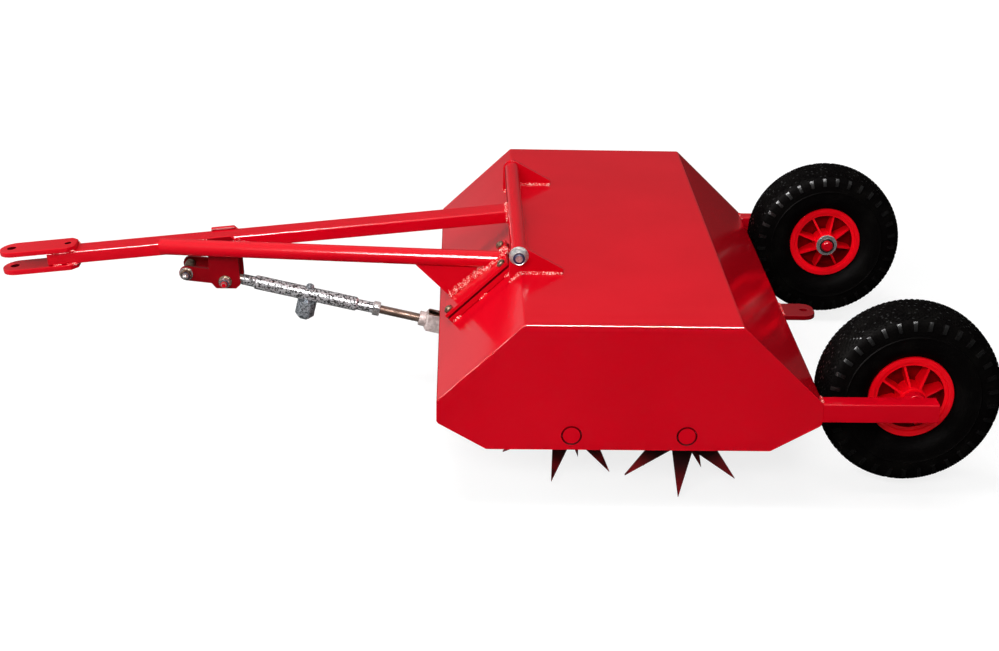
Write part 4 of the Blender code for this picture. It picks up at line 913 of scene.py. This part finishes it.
# %% Mould the tyres
BARS, COLUMNS_PER_BAR, COLUMNS_IN_BAR = 33, 6, 2
ROW_WIDTH = 0.0028
BAR_FROM, BAR_TO, TREAD_FROM, TREAD_HALF = 0.1050, 0.1200, 0.1202, 0.0350
KNOBS_KEPT, KNOBS_WORN = 0.9, 0.24
DICE_SEED = 41


def mould_tyre(side, sign):
    """Spin the section, then raise the shoulder bars and the pebbles of the tread."""
    place = facing(middle(f"rim_{side}"), (0, sign, 0))
    to_wheel = place.inverted()
    bm = bmesh.new()
    columns = BARS * COLUMNS_PER_BAR
    add_turned(bm, place, tyre_section(), columns, closed=True)
    bmesh.ops.recalc_face_normals(bm, faces=bm.faces)
    dice = random.Random(DICE_SEED)
    bars, knobs, worn = [], [], []
    for face in bm.faces:
        spot = to_wheel @ face.calc_center_median()
        radius = math.hypot(spot.x, spot.y)
        column = int((math.atan2(spot.y, spot.x) / (2 * math.pi) + 0.5) * columns + 0.0001)
        row = int((spot.z + TYRE_HALF) / ROW_WIDTH)
        on_tread = radius > TREAD_FROM and abs(spot.z) < TREAD_HALF
        on_shoulder = BAR_FROM < radius < BAR_TO and abs(spot.z) > TREAD_HALF
        if on_shoulder and column % COLUMNS_PER_BAR < COLUMNS_IN_BAR:
            bars.append(face)
        elif on_tread and (column + row) % 2 == 0 and dice.random() < KNOBS_KEPT:
            knobs.append(face)
            if dice.random() < KNOBS_WORN:
                worn.append(face)
    bmesh.ops.inset_individual(bm, faces=knobs, thickness=0.0007, depth=KNOB_RISE, use_even_offset=True)
    bmesh.ops.inset_region(bm, faces=bars, thickness=0.0009, depth=BAR_RISE, use_even_offset=True,
                           use_boundary=True)
    print("tyre", side, "has", len(bars), "bar faces and", len(knobs), "knobs")
    for index, faces in ((1, bars), (2, worn)):
        for face in faces:
            face.material_index = index
    store(bm, f"tyre_with_tread_{side}", f"{side}_wheel", "tyre_rubber", [f"tyre_{side}"],
          also=("polished_bar", "worn_knob"))


for side, sign in (("left", -1), ("right", 1)):
    mould_tyre(side, sign)

# %% [markdown]
# ## Rims
# The rim's flange steps down to the barrel, and eight thin ribs stand on the web between
# hub and barrel, deepest at the hub. The flange and hub are turned. Each rib is a
# four-sided outline made solid and rounded, a little thinner at its free edge, as a part
# that has to leave its mould must be.

# %% Mould the rims
HUB_RADIUS, HUB_HALF, WEB_HALF, BUSH_BORE = 0.0190, 0.040, 0.0025, 0.0138
RIM_HALF, RIM_RADIUS, BARREL, BEAD_SEAT = 0.0273, 0.0607, 0.0468, 0.0508
RIB_COUNT, RIB_TURN, RIB_THICKNESS, RIB_TAPER, RIB_ROUND = 8, 0.35, 0.0042, 0.85, 0.0004
RIB_FOOT, RIB_FREE = 0.0018, 0.01
RIM_STEPS = 72


def rim_section():
    """The rim's closed section as (radius, distance from its middle)."""
    half = [
        (BUSH_BORE, HUB_HALF), (HUB_RADIUS - 0.0008, HUB_HALF), (HUB_RADIUS, HUB_HALF - 0.0008),
        (HUB_RADIUS + 0.0006, 0.008), (HUB_RADIUS + 0.0030, WEB_HALF), (BARREL - 0.0025, WEB_HALF),
        (BARREL, 0.0050), (BARREL + 0.0004, 0.0232), (BARREL + 0.0008, 0.0240), (BARREL + 0.0048, 0.0244),
        (BARREL + 0.0054, 0.0250), (BARREL + 0.0058, 0.0266), (BARREL + 0.0068, RIM_HALF),
        (RIM_RADIUS - 0.0016, RIM_HALF), (RIM_RADIUS - 0.0004, RIM_HALF - 0.0006),
        (RIM_RADIUS, RIM_HALF - 0.0018), (RIM_RADIUS, 0.0236), (BEAD_SEAT, 0.0233),
    ]
    return half + [(radius, -across) for radius, across in half[::-1]]


def add_rib(bm, place, angle, face):
    """A rib on one face of the web, deepest at the hub and thinner towards its free edge."""
    root, tip = HUB_RADIUS - 0.0008, BARREL + 0.0010
    outline = [(root, RIB_FOOT), (tip, RIB_FOOT), (tip, 0.0205), (root, HUB_HALF - 0.0045)]
    verts = [bm.verts.new((r, -RIB_THICKNESS / 2, d * face)) for r, d in outline]
    extruded = bmesh.ops.extrude_face_region(bm, geom=[bm.faces.new(verts)], use_keep_orig=True)
    far = [item for item in extruded["geom"] if isinstance(item, bmesh.types.BMVert)]
    bmesh.ops.translate(bm, verts=far, vec=(0, RIB_THICKNESS, 0))
    whole = verts + far
    free = [vert for vert in whole if abs(vert.co.z) > RIB_FREE]
    for vert in free:
        vert.co.y *= RIB_TAPER
    edges = [edge for edge in bm.edges if all(vert in free for vert in edge.verts)]
    bmesh.ops.transform(bm, matrix=place @ Matrix.Rotation(angle, 4, "Z"), verts=whole)
    bevel(bm, edges, RIB_ROUND)


for side, sign in (("left", -1), ("right", 1)):
    place = facing(middle(f"rim_{side}"), (0, sign, 0))
    bm = bmesh.new()
    for face in (-1, 1):
        for index in range(RIB_COUNT):
            add_rib(bm, place, 2 * math.pi * (index + RIB_TURN) / RIB_COUNT, face)
    ribs = set(bm.faces)
    add_turned(bm, place, rim_section(), RIM_STEPS, closed=True)
    # The web and barrel faces get the darker red as painted shade.
    for face in set(bm.faces) - ribs:
        spot = place.inverted() @ face.calc_center_median()
        if HUB_RADIUS < math.hypot(spot.x, spot.y) < BARREL + 0.001 and abs(spot.z) < 0.0235:
            face.material_index = 1
    print("rim", side, "has", len(bm.faces), "faces")
    store(bm, f"rim_with_ribs_{side}", f"{side}_wheel", "rim_plastic", [f"rim_{side}"], also=("rim_web_shade",))

# %% [markdown]
# ## Hubs
# Each wheel is held on its stub axle by a shiny washer and a dark retaining ring. Both are
# flat rings, so they are turned like any washer, from the boxes of their CAD nodes.

# %% Fit the hubs
RETAINER_RADIUS, HUB_RING_BORE = 0.0122, 0.0103
for side in ("left", "right"):
    for node, finish in ((f"hub_washer_{side}", "chrome_washer"), (f"hub_retainer_{side}", "dark_ring")):
        low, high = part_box(node)
        radius = (high.x - low.x) / 2 if finish == "chrome_washer" else RETAINER_RADIUS
        washer(f"{node}_turned", "hood", finish, inward(middle(node), low.y), radius, HUB_RING_BORE,
               high.y - low.y, [node])

# %% [markdown]
# ## A weld bead
# A weld is a row of small frozen ripples. One ring of vertices is swept along the joint
# and swells and shrinks as it goes, with a little noise so that no two ripples match. The
# beads on this machine are thick and hand laid, and under gloss paint they sparkle.

# %% Sweep a bead
WELD_STEP, RIPPLE, WELD_SIDES = 0.0007, 0.0026, 9
BEAD_HEIGHT, BEAD_WANDER = 0.72, 0.12              # as shares of the bead's width
LEAST_SWELL, RIPPLE_SWELL, CHANCE_SWELL = 0.80, 0.26, 0.50
BLUNT_END, TAPER_STEPS = 0.35, 5


def walk(path, step):
    """Points at even steps along a path, each with the direction there."""
    stations = []
    for start, end in zip(path, path[1:]):
        run = Vector(end) - Vector(start)
        count = max(2, round(run.length / step))
        stations += [(Vector(start) + run * i / count, run.normalized()) for i in range(count)]
    return stations + [(Vector(path[-1]), stations[-1][1])]


def add_weld(bm, path, up, width, seed=0):
    """Sweep one rippled bead along a path, with its crown towards up."""
    stations = walk(path, WELD_STEP)
    last = len(stations) - 1
    up = Vector(up).normalized()
    before, edges = None, []
    for index, (point, ahead) in enumerate(stations):
        phase = index * WELD_STEP / RIPPLE
        chance = noise.noise(Vector((seed * 7.3, index * 0.21, 0)))
        swell = LEAST_SWELL + RIPPLE_SWELL * (phase % 1.0) + CHANCE_SWELL * chance
        taper = min(1.0, BLUNT_END + index / TAPER_STEPS, BLUNT_END + (last - index) / TAPER_STEPS)
        wide = width / 2 * swell * taper
        side = up.cross(ahead).normalized()
        lift = ahead.cross(side)
        wander = side * width * BEAD_WANDER * noise.noise(Vector((index * 0.13, seed * 3.1, 5)))
        station = Matrix.Translation(point + wander) @ Matrix((side, lift, ahead)).transposed().to_4x4()
        station = station @ Matrix.Diagonal((wide, wide * BEAD_HEIGHT, 1, 1))
        if before is None:
            made = bmesh.ops.create_circle(bm, segments=WELD_SIDES, radius=1, matrix=station)
            edges = list({edge for vert in made["verts"] for edge in vert.link_edges})
            bmesh.ops.holes_fill(bm, edges=edges, sides=0)
        else:
            grown = bmesh.ops.extrude_edge_only(bm, edges=edges)["geom"]
            verts = [item for item in grown if isinstance(item, bmesh.types.BMVert)]
            edges = [item for item in grown if isinstance(item, bmesh.types.BMEdge)
                     and all(vert in verts for vert in item.verts)]
            bmesh.ops.transform(bm, matrix=station @ before.inverted(), verts=verts)
        before = station
    bmesh.ops.holes_fill(bm, edges=edges, sides=0)


def weld(name, body, beads, width):
    """A piece of one or more beads: each is its path and the direction of its crown."""
    bm = bmesh.new()
    for index, (path, up) in enumerate(beads):
        add_weld(bm, path, up, width, seed=index + len(name))
    print(name, "has", len(beads), "beads and", len(bm.faces), "faces")
    store(bm, name, body, "weld_enamel")


print("a bead has", round(1 / RIPPLE), "ripples to a metre")

# %% [markdown]
# ## The ears' welds
# The two ears that carry the pivot stand on the hood across its front bend. Each is welded
# along both sides of its foot, up the slope, round the bend and along the top, so the path
# has one corner, and the bead leans away from the ear.

# %% Weld the ears to the hood
HOOD_TOP = ORIGIN.z + HOOD_HEIGHT
for side in ("left", "right"):
    low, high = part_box(f"pivot_ear_{side}")
    front = on_slope((low.x - ORIGIN.x) / SLOPE.x + 0.001, 0)
    bend = ORIGIN + Vector((SLOPE_RUN, 0, HOOD_HEIGHT))
    tip = Vector((high.x, 0, HOOD_TOP))
    beads = []
    for edge, out in ((low.y, -1), (high.y, 1)):
        path = [Vector((point.x, edge, point.z)) for point in (front, bend, tip)]
        beads.append((path, (0, out * 0.7, 1)))
    weld(f"ear_weld_{side}", "hood", beads, 0.0092)

# %% [markdown]
# ## Along the drawbar's tube
# The drawbar rises a little towards the tractor. Points by its tube are given forward from
# the pivot, across, and above its middle. Measured this way, the walls of the clevis
# plates' holes are easy to find. They get the seam paint as painted shade, and the top of
# the bracket's plates gets full enamel again as painted light, because there the tube's
# light reaches.

# %% Measure along the tube
RISE = math.radians(6.41)
ALONG = Vector((math.cos(RISE), 0, math.sin(RISE)))
ABOVE = Vector((-ALONG.z, 0, ALONG.x))
TUBE_DROP, TUBE_HALF_WIDTH, TUBE_HALF_HEIGHT = 0.0065, 0.020, 0.010
CLEVIS_REACH, CLEVIS_TAIL, TUBE_FRONT = 0.793, 0.674, 0.7185
HITCH_INSET, HITCH_RADIUS, SPARE_INSET, SPARE_RADIUS = 0.0185, 0.0068, 0.0135, 0.005
HOLES = ((CLEVIS_REACH - HITCH_INSET, HITCH_RADIUS), (CLEVIS_TAIL + SPARE_INSET, SPARE_RADIUS))
TUBE_ORIGIN = PIVOT - Vector((0, 0, TUBE_DROP))


def on_tube(forward, across, up):
    """A point by the drawbar tube: forward from the pivot, across, and above its middle."""
    return TUBE_ORIGIN - ALONG * forward + Vector((0, across, 0)) + ABOVE * up


def in_a_hole(face):
    """Whether a face is part of the wall of one of the clevis plates' holes."""
    arm = TUBE_ORIGIN - face.center
    near = any(math.hypot(arm.dot(ALONG) - forward, arm.y) < radius + 0.0006 for forward, radius in HOLES)
    return near and abs(face.normal.dot(ABOVE)) < 0.8


# The holes' walls get the dark paint as painted shade.
for level in ("upper", "lower"):
    refinish(STEEL[f"clevis_plate_{level}"], "seam_and_shade_paint", in_a_hole)
# The tops of the bracket's plates get the full red as painted light.
for side in ("left", "right"):
    refinish(STEEL[f"bracket_plate_{side}"], "red_enamel",
             lambda face: (face.center - TUBE_ORIGIN).dot(ABOVE) > TUBE_HALF_HEIGHT - 0.002)

# %% [markdown]
# ## The tube's welds
# Short beads hold the clevis plates at the tube's corners, one runs round the tube's end
# where it meets the pivot, and four upright ones hold the bracket. A path needs only its
# two ends, because the sweep adds the steps between them.

# %% Weld the pivot tube, clevis and bracket to the drawbar tube
PIVOT_REACH = 0.0125
CLEVIS_BEADS = ((TUBE_FRONT - 0.006, TUBE_FRONT - 0.020), (CLEVIS_TAIL + 0.016, CLEVIS_TAIL - 0.001))
beads = []
for side in (-1, 1):
    for level in (-1, 1):
        for ends in CLEVIS_BEADS:
            path = [on_tube(end, side * TUBE_HALF_WIDTH, level * TUBE_HALF_HEIGHT) for end in ends]
            beads.append((path, (0, side, -0.4 * level)))
weld("clevis_weld", "drawbar", beads, 0.0046)

top_left, top_right, low_left, low_right = (
    on_tube(PIVOT_REACH, side * TUBE_HALF_WIDTH, level * TUBE_HALF_HEIGHT)
    for level in (1, -1) for side in (-1, 1))
beads = [([top_left, top_right], ABOVE - ALONG * 0.5), ([top_left, low_left], (-0.5, -1, 0)),
         ([top_right, low_right], (-0.5, 1, 0))]
weld("pivot_tube_weld", "drawbar", beads, 0.0052)

bracket_low, bracket_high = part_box("bracket_plate_left")
beads = []
for side in (-1, 1):
    edge = side * (TUBE_HALF_WIDTH + 0.0004)
    for x, ahead in ((bracket_low.x + 0.0345, -1), (bracket_high.x - 0.0005, 1)):
        forward = (TUBE_ORIGIN.x - x) / ALONG.x
        path = [on_tube(forward, edge, TUBE_HALF_HEIGHT * share) for share in (-0.9, 0.7)]
        beads.append((path, (ahead, side * 0.8, 0)))
weld("bracket_weld", "drawbar", beads, 0.0046)

# %% [markdown]
# ## The brace's welds
# The round brace runs from the tube down to the flange, and a gusset stiffens its foot. The
# bead round the brace lies in the flange's plane and not square to the brace, so each of
# its points slides along the brace until it meets that plane. That makes the ellipse of a
# slanted cut.

# %% Weld the brace and gusset
BRACE_RADIUS, COLLAR_STEPS = 0.0125, 20
BRACE_START, BRACE_END = 0.5415, 0.131
STOP_CENTRE_Y = -0.129
GUSSET_FOOT, GUSSET_BEAD_OFF, GUSSET_BEAD_UP = 0.018, 0.0050, 0.0012
brace_front = on_tube(BRACE_START, -0.026, 0.0073)
brace_rear = on_slope(BRACE_END, STOP_CENTRE_Y, FLANGE_TOP)
brace_run = (brace_rear - brace_front).normalized()
brace_side = brace_run.cross(Vector((0, 0, 1))).normalized()
brace_up = brace_side.cross(brace_run)


def slanted_collar(point, normal):
    """A path round the brace at a point, in the plane with the given normal."""
    path = []
    for step in range(COLLAR_STEPS + 1):
        angle = 2 * math.pi * step / COLLAR_STEPS
        spot = point + (brace_side * math.cos(angle) + brace_up * math.sin(angle)) * BRACE_RADIUS
        path.append(spot - brace_run * ((spot - point).dot(normal) / brace_run.dot(normal)))
    return path


beads = [(slanted_collar(brace_rear, SLOPE_NORMAL), SLOPE_NORMAL)]
for side in (-1, 1):
    offset = brace_side * GUSSET_BEAD_OFF * side + SLOPE_NORMAL * GUSSET_BEAD_UP
    start = on_slope(GUSSET_FOOT / SLOPE.x + 0.014, STOP_CENTRE_Y, FLANGE_TOP) + offset
    start.y += (start.x - brace_rear.x) * brace_run.y / brace_run.x
    end = brace_rear - SLOPE * 0.012 + offset
    beads.append(([start, end], SLOPE_NORMAL + brace_side * side * 0.8))
weld("gusset_weld", "drawbar", beads, 0.0150)
along_brace = [on_tube(0.540, -TUBE_HALF_WIDTH - 0.001, TUBE_HALF_HEIGHT + 0.0015),
               on_tube(0.470, -TUBE_HALF_WIDTH - 0.004, TUBE_HALF_HEIGHT - 0.001)]
weld("brace_weld", "drawbar", [(along_brace, (0, -0.3, 1))], 0.0052)

# %% [markdown]
# ## The hood's other welds
# The stop plate is stitched to the slope with short beads, as a welder does to keep thin
# sheet from warping. The wheel arms are welded where they meet the hood's rear strip, and
# the hitch lug over and under its root.

# %% Weld the stop plate, arms and lug
STOP_HALF_WIDTH, STOP_FOOT = 0.049, 0.028
SIDE_STITCHES = ((0.031, 0.046), (0.082, 0.097), (0.132, 0.148))
FOOT_STITCHES = ((-0.040, -0.018), (0.018, 0.040))
beads = []
for out in (-1, 1):
    y = STOP_CENTRE_Y + out * STOP_HALF_WIDTH
    for start, end in SIDE_STITCHES:
        beads.append(([on_slope(start, y), on_slope(end, y)], SLOPE_NORMAL + Vector((0, out, 0))))
for start, end in FOOT_STITCHES:
    path = [on_slope(STOP_FOOT, STOP_CENTRE_Y + start), on_slope(STOP_FOOT, STOP_CENTRE_Y + end)]
    beads.append((path, SLOPE_NORMAL - SLOPE))
weld("stop_plate_weld", "hood", beads, 0.0064)

for side, towards_middle in (("left", 1), ("right", -1)):
    low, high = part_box(f"wheel_arm_{side}")
    inner_y, outer_y = (high.y, low.y) if side == "left" else (low.y, high.y)
    corner = Vector((low.x, inner_y, high.z))
    beads = [
        ([Vector((low.x, outer_y + towards_middle * 0.004, high.z)), corner], (1, 0, 1)),
        ([corner, Vector((low.x, inner_y, ORIGIN.z + 0.041))], (1, towards_middle, 0)),
    ]
    weld(f"arm_weld_{side}", "hood", beads, 0.0050)

low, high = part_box("rear_hitch_lug")
beads = [([Vector((low.x, low.y, z)), Vector((low.x, high.y, z))], (1, 0, out))
         for z, out in ((low.z, -1), (high.z, 1))]
weld("hitch_lug_weld", "hood", beads, 0.0044)

# %% [markdown]
# ## The pieces that stay as they are
# What is left of the CAD model is the bushes, hidden inside the wheels and rollers. Their
# shapes are right, so those nodes only get the cream nylon in their material slots.

# %% Paint the bushes
bushes = [item for item in frame["nodes"].values() if not item.hide_render]
for bush in bushes:
    for slot in bush.material_slots:
        slot.material = FINISHES["bush_nylon"]
print("nodes shown as they are:", len(bushes))

# %% [markdown]
# ## Soft lamps
# The photograph was taken in even, soft light. Four large area lamps give it: one overhead,
# one in front, one on the camera's side and a faint one behind. Glossy paint would mirror
# them as hard white rectangles, so these four are hidden from reflections and only give
# light. What the paint mirrors is set by itself in the next steps.

# %% Hang the soft lamps
def area_lamp(name, place, target, width, length, power):
    """A rectangular lamp that faces a target."""
    lamp = bpy.data.lights.new(name, "AREA")
    lamp.shape = "RECTANGLE"
    lamp.size, lamp.size_y = width, length
    lamp.energy = power
    item = bpy.data.objects.new(name, lamp)
    ahead = Vector(target) - Vector(place)
    item.matrix_world = Matrix.Translation(place) @ ahead.to_track_quat("-Z", "Y").to_matrix().to_4x4()
    bpy.context.scene.collection.objects.link(item)
    return item


MACHINE, DRAWBAR = (0.1, 0.0, 0.15), (-0.3, 0, 0.2)
SOFT_LAMPS = {   # place, target, width, length and power
    "overhead_softbox": ((-0.10, -0.38, 2.5), MACHINE, 1.6, 0.9, 32),
    "front_window": ((-2.4, -0.7, 1.3), DRAWBAR, 1.4, 1.6, 36),
    "camera_side": ((-0.9, -3.4, 2.3), MACHINE, 2.4, 0.8, 90),
    "back_fill": ((-0.6, 3.4, 2.2), MACHINE, 2.4, 1.2, 32),
}
for name, settings in SOFT_LAMPS.items():
    area_lamp(name, *settings).visible_glossy = False
print("soft lamps:", len(SOFT_LAMPS))

# %% [markdown]
# ## Strips for the highlights
# A bevelled edge shows up because it mirrors a lamp. Thin white lines run along the hood's
# corner, the tube and the brace, but the flat faces beside them stay red. So each line gets
# a strip lamp where that edge looks, worked out from the mirror angle. The strips give no
# diffuse light, and light linking ties each to its own pieces, so no flat plate turns white.

# %% Place the strips
def lit_pieces(name, pieces, state):
    """A collection of pieces that a strip lights alone, or leaves out."""
    group = bpy.data.collections.new(name)
    for piece in pieces:
        group.objects.link(bpy.data.objects[piece])
    for item in group.collection_objects:
        item.light_linking.link_state = state
    return group


FLAT = ("drawbar_brace", "drawbar_tube", "stop_flange", "stop_plate", "brace_gusset", "clevis_plate_upper",
        "clevis_plate_lower", "bracket_plate_left", "bracket_plate_right", "rear_hitch_lug", "top_link_lug")
SPARED = ("hood_skin", "rim_with_ribs_left", "rim_with_ribs_right", *(f"{node}_eased" for node in FLAT))
spared = lit_pieces("spared_by_the_strips", SPARED, "EXCLUDE")
plate = lit_pieces("near_side_plate", ["side_plate_left"], "INCLUDE")
brace = lit_pieces("brace_alone", ["drawbar_brace_eased"], "INCLUDE")
tube = lit_pieces("tube_alone", ["drawbar_tube_eased"], "INCLUDE")
treads = lit_pieces("tyres", ["tyre_with_tread_left", "tyre_with_tread_right"], "INCLUDE")
STRIPS = {   # place, width, length, power and the pieces that it is linked to
    "gloss_strip_left": ((-2.3, -3.0, 2.6), 1.6, 1.1, 140, spared),
    "gloss_strip_right": ((0.45, -3.2, 2.7), 1.6, 1.1, 240, spared),
    "plate_edge_strip": ((0.75, -3.1, 2.9), 2.0, 4.0, 6000, plate),
    "slope_edge_strip": ((-2.7, -3.1, 1.5), 1.6, 1.4, 420, plate),
    "brace_strip": ((-1.45, -3.1, 2.5), 0.7, 1.7, 330, brace),
    "tube_edge_strip": ((-1.5, -3.1, 2.4), 1.5, 2.4, 950, tube),
    "tread_strip": ((-1.65, -1.6, 1.8), 2.2, 2.0, 1000, treads),
}
for name, (place, width, length, power, linked) in STRIPS.items():
    strip = area_lamp(name, place, MACHINE, width, length, power)
    strip.visible_diffuse = False
    strip.light_linking.receiver_collection = linked
print("strips:", len(STRIPS))

# %% [markdown]
# ## The sky
# The background is white because the camera's own rays see a strength of 1. The light on
# the machine is much weaker, or the paint would wash out. Mirror rays see a third thing:
# grey low down, brighter overhead, and a glow on the left for the front slope. Light Path
# tells these rays apart.

# %% Light the world
WHITE = (1, 1, 1, 1)
AMBIENT, BACKGROUND = 0.20, 1.0
HORIZON, ZENITH, CLIMB_FROM, CLIMB_TO = 0.12, 0.75, 0.42, 0.75
LEFT_GLOW, LEFT_FROM, LEFT_TO = 0.28, -0.27, -0.42
world = bpy.data.worlds.new("studio")
bpy.context.scene.world = world
world.use_nodes = True
sky = Graph(world.node_tree)


def shine(strength):
    """White light of some strength from the sky."""
    return sky.node("ShaderNodeBackground", {}, {"Color": WHITE, "Strength": strength}).outputs[0]


ray = sky.node("ShaderNodeLightPath").outputs
x, _, z = sky.axes(sky.node("ShaderNodeTexCoord").outputs["Generated"])
climb = sky.ramp(z, CLIMB_FROM, CLIMB_TO, HORIZON, ZENITH)
left_glow = sky.ramp(x, LEFT_FROM, LEFT_TO, 0.0, LEFT_GLOW)
unseen = sky.choose(ray["Is Glossy Ray"], shine(AMBIENT), shine(climb + left_glow))
shown = sky.choose(ray["Is Camera Ray"], unseen, shine(BACKGROUND))
sky.feed(sky.tree.nodes["World Output"].inputs["Surface"], shown)
print("sky has", len(sky.tree.nodes), "nodes")

# %% [markdown]
# ## The floor
# The floor is a sheet of pale paper. For the camera it also glows, a little less round the
# machine than far away, so that it reads as white while the shadow on it stays. The paper
# that lights the machine from below is greyer, and what the paint mirrors of it is nearly
# black under the hood and paler on the left, as in the photograph.

# %% Lay the floor
FLOOR_SIZE = 40
PAPER, PAPER_SHOWN = 0.38, 0.26
GLOW_NEAR, GLOW_FAR, NEAR, FAR = 0.80, 1.0, 1.0, 2.6
MIRRORED_DARK, MIRRORED_PALE, DARK_TO, PALE_FROM = 0.02, 0.34, -0.45, -1.1
bm = bmesh.new()
bmesh.ops.create_grid(bm, x_segments=1, y_segments=1, size=FLOOR_SIZE)
floor_mesh = bpy.data.meshes.new("floor")
bm.to_mesh(floor_mesh)
bm.free()
floor = bpy.data.objects.new("floor", floor_mesh)
bpy.context.scene.collection.objects.link(floor)
material = bpy.data.materials.new("white_paper")
material.use_nodes = True
floor_mesh.materials.append(material)
paper = Graph(material.node_tree)
paper.tree.nodes.remove(paper.tree.nodes["Principled BSDF"])


def matt(grey):
    """Paper of one grey."""
    return paper.node("ShaderNodeBsdfDiffuse", {}, {"Color": (grey, grey, grey, 1)}).outputs[0]


def glowing(strength):
    """Paper that gives off light."""
    return paper.node("ShaderNodeEmission", {}, {"Color": strength, "Strength": 1.0}).outputs[0]


ray = paper.node("ShaderNodeLightPath").outputs
spot = paper.node("ShaderNodeTexCoord").outputs["Object"]
away = paper.node("ShaderNodeVectorMath", {"operation": "LENGTH"}, {0: spot}).outputs["Value"]
glow = glowing(paper.ramp(away, NEAR, FAR, GLOW_NEAR, GLOW_FAR))
lit = paper.node("ShaderNodeAddShader", {}, {0: matt(PAPER_SHOWN), 1: glow}).outputs[0]
mirrored = glowing(paper.ramp(paper.axes(spot)[0], DARK_TO, PALE_FROM, MIRRORED_DARK, MIRRORED_PALE))
unseen = paper.choose(ray["Is Glossy Ray"], matt(PAPER), mirrored)
shown = paper.choose(ray["Is Camera Ray"], unseen, lit)
paper.feed(paper.tree.nodes["Material Output"].inputs["Surface"], shown)
bpy.context.scene.view_settings.view_transform = "Standard"
print("floor", 2 * FLOOR_SIZE, "m wide")
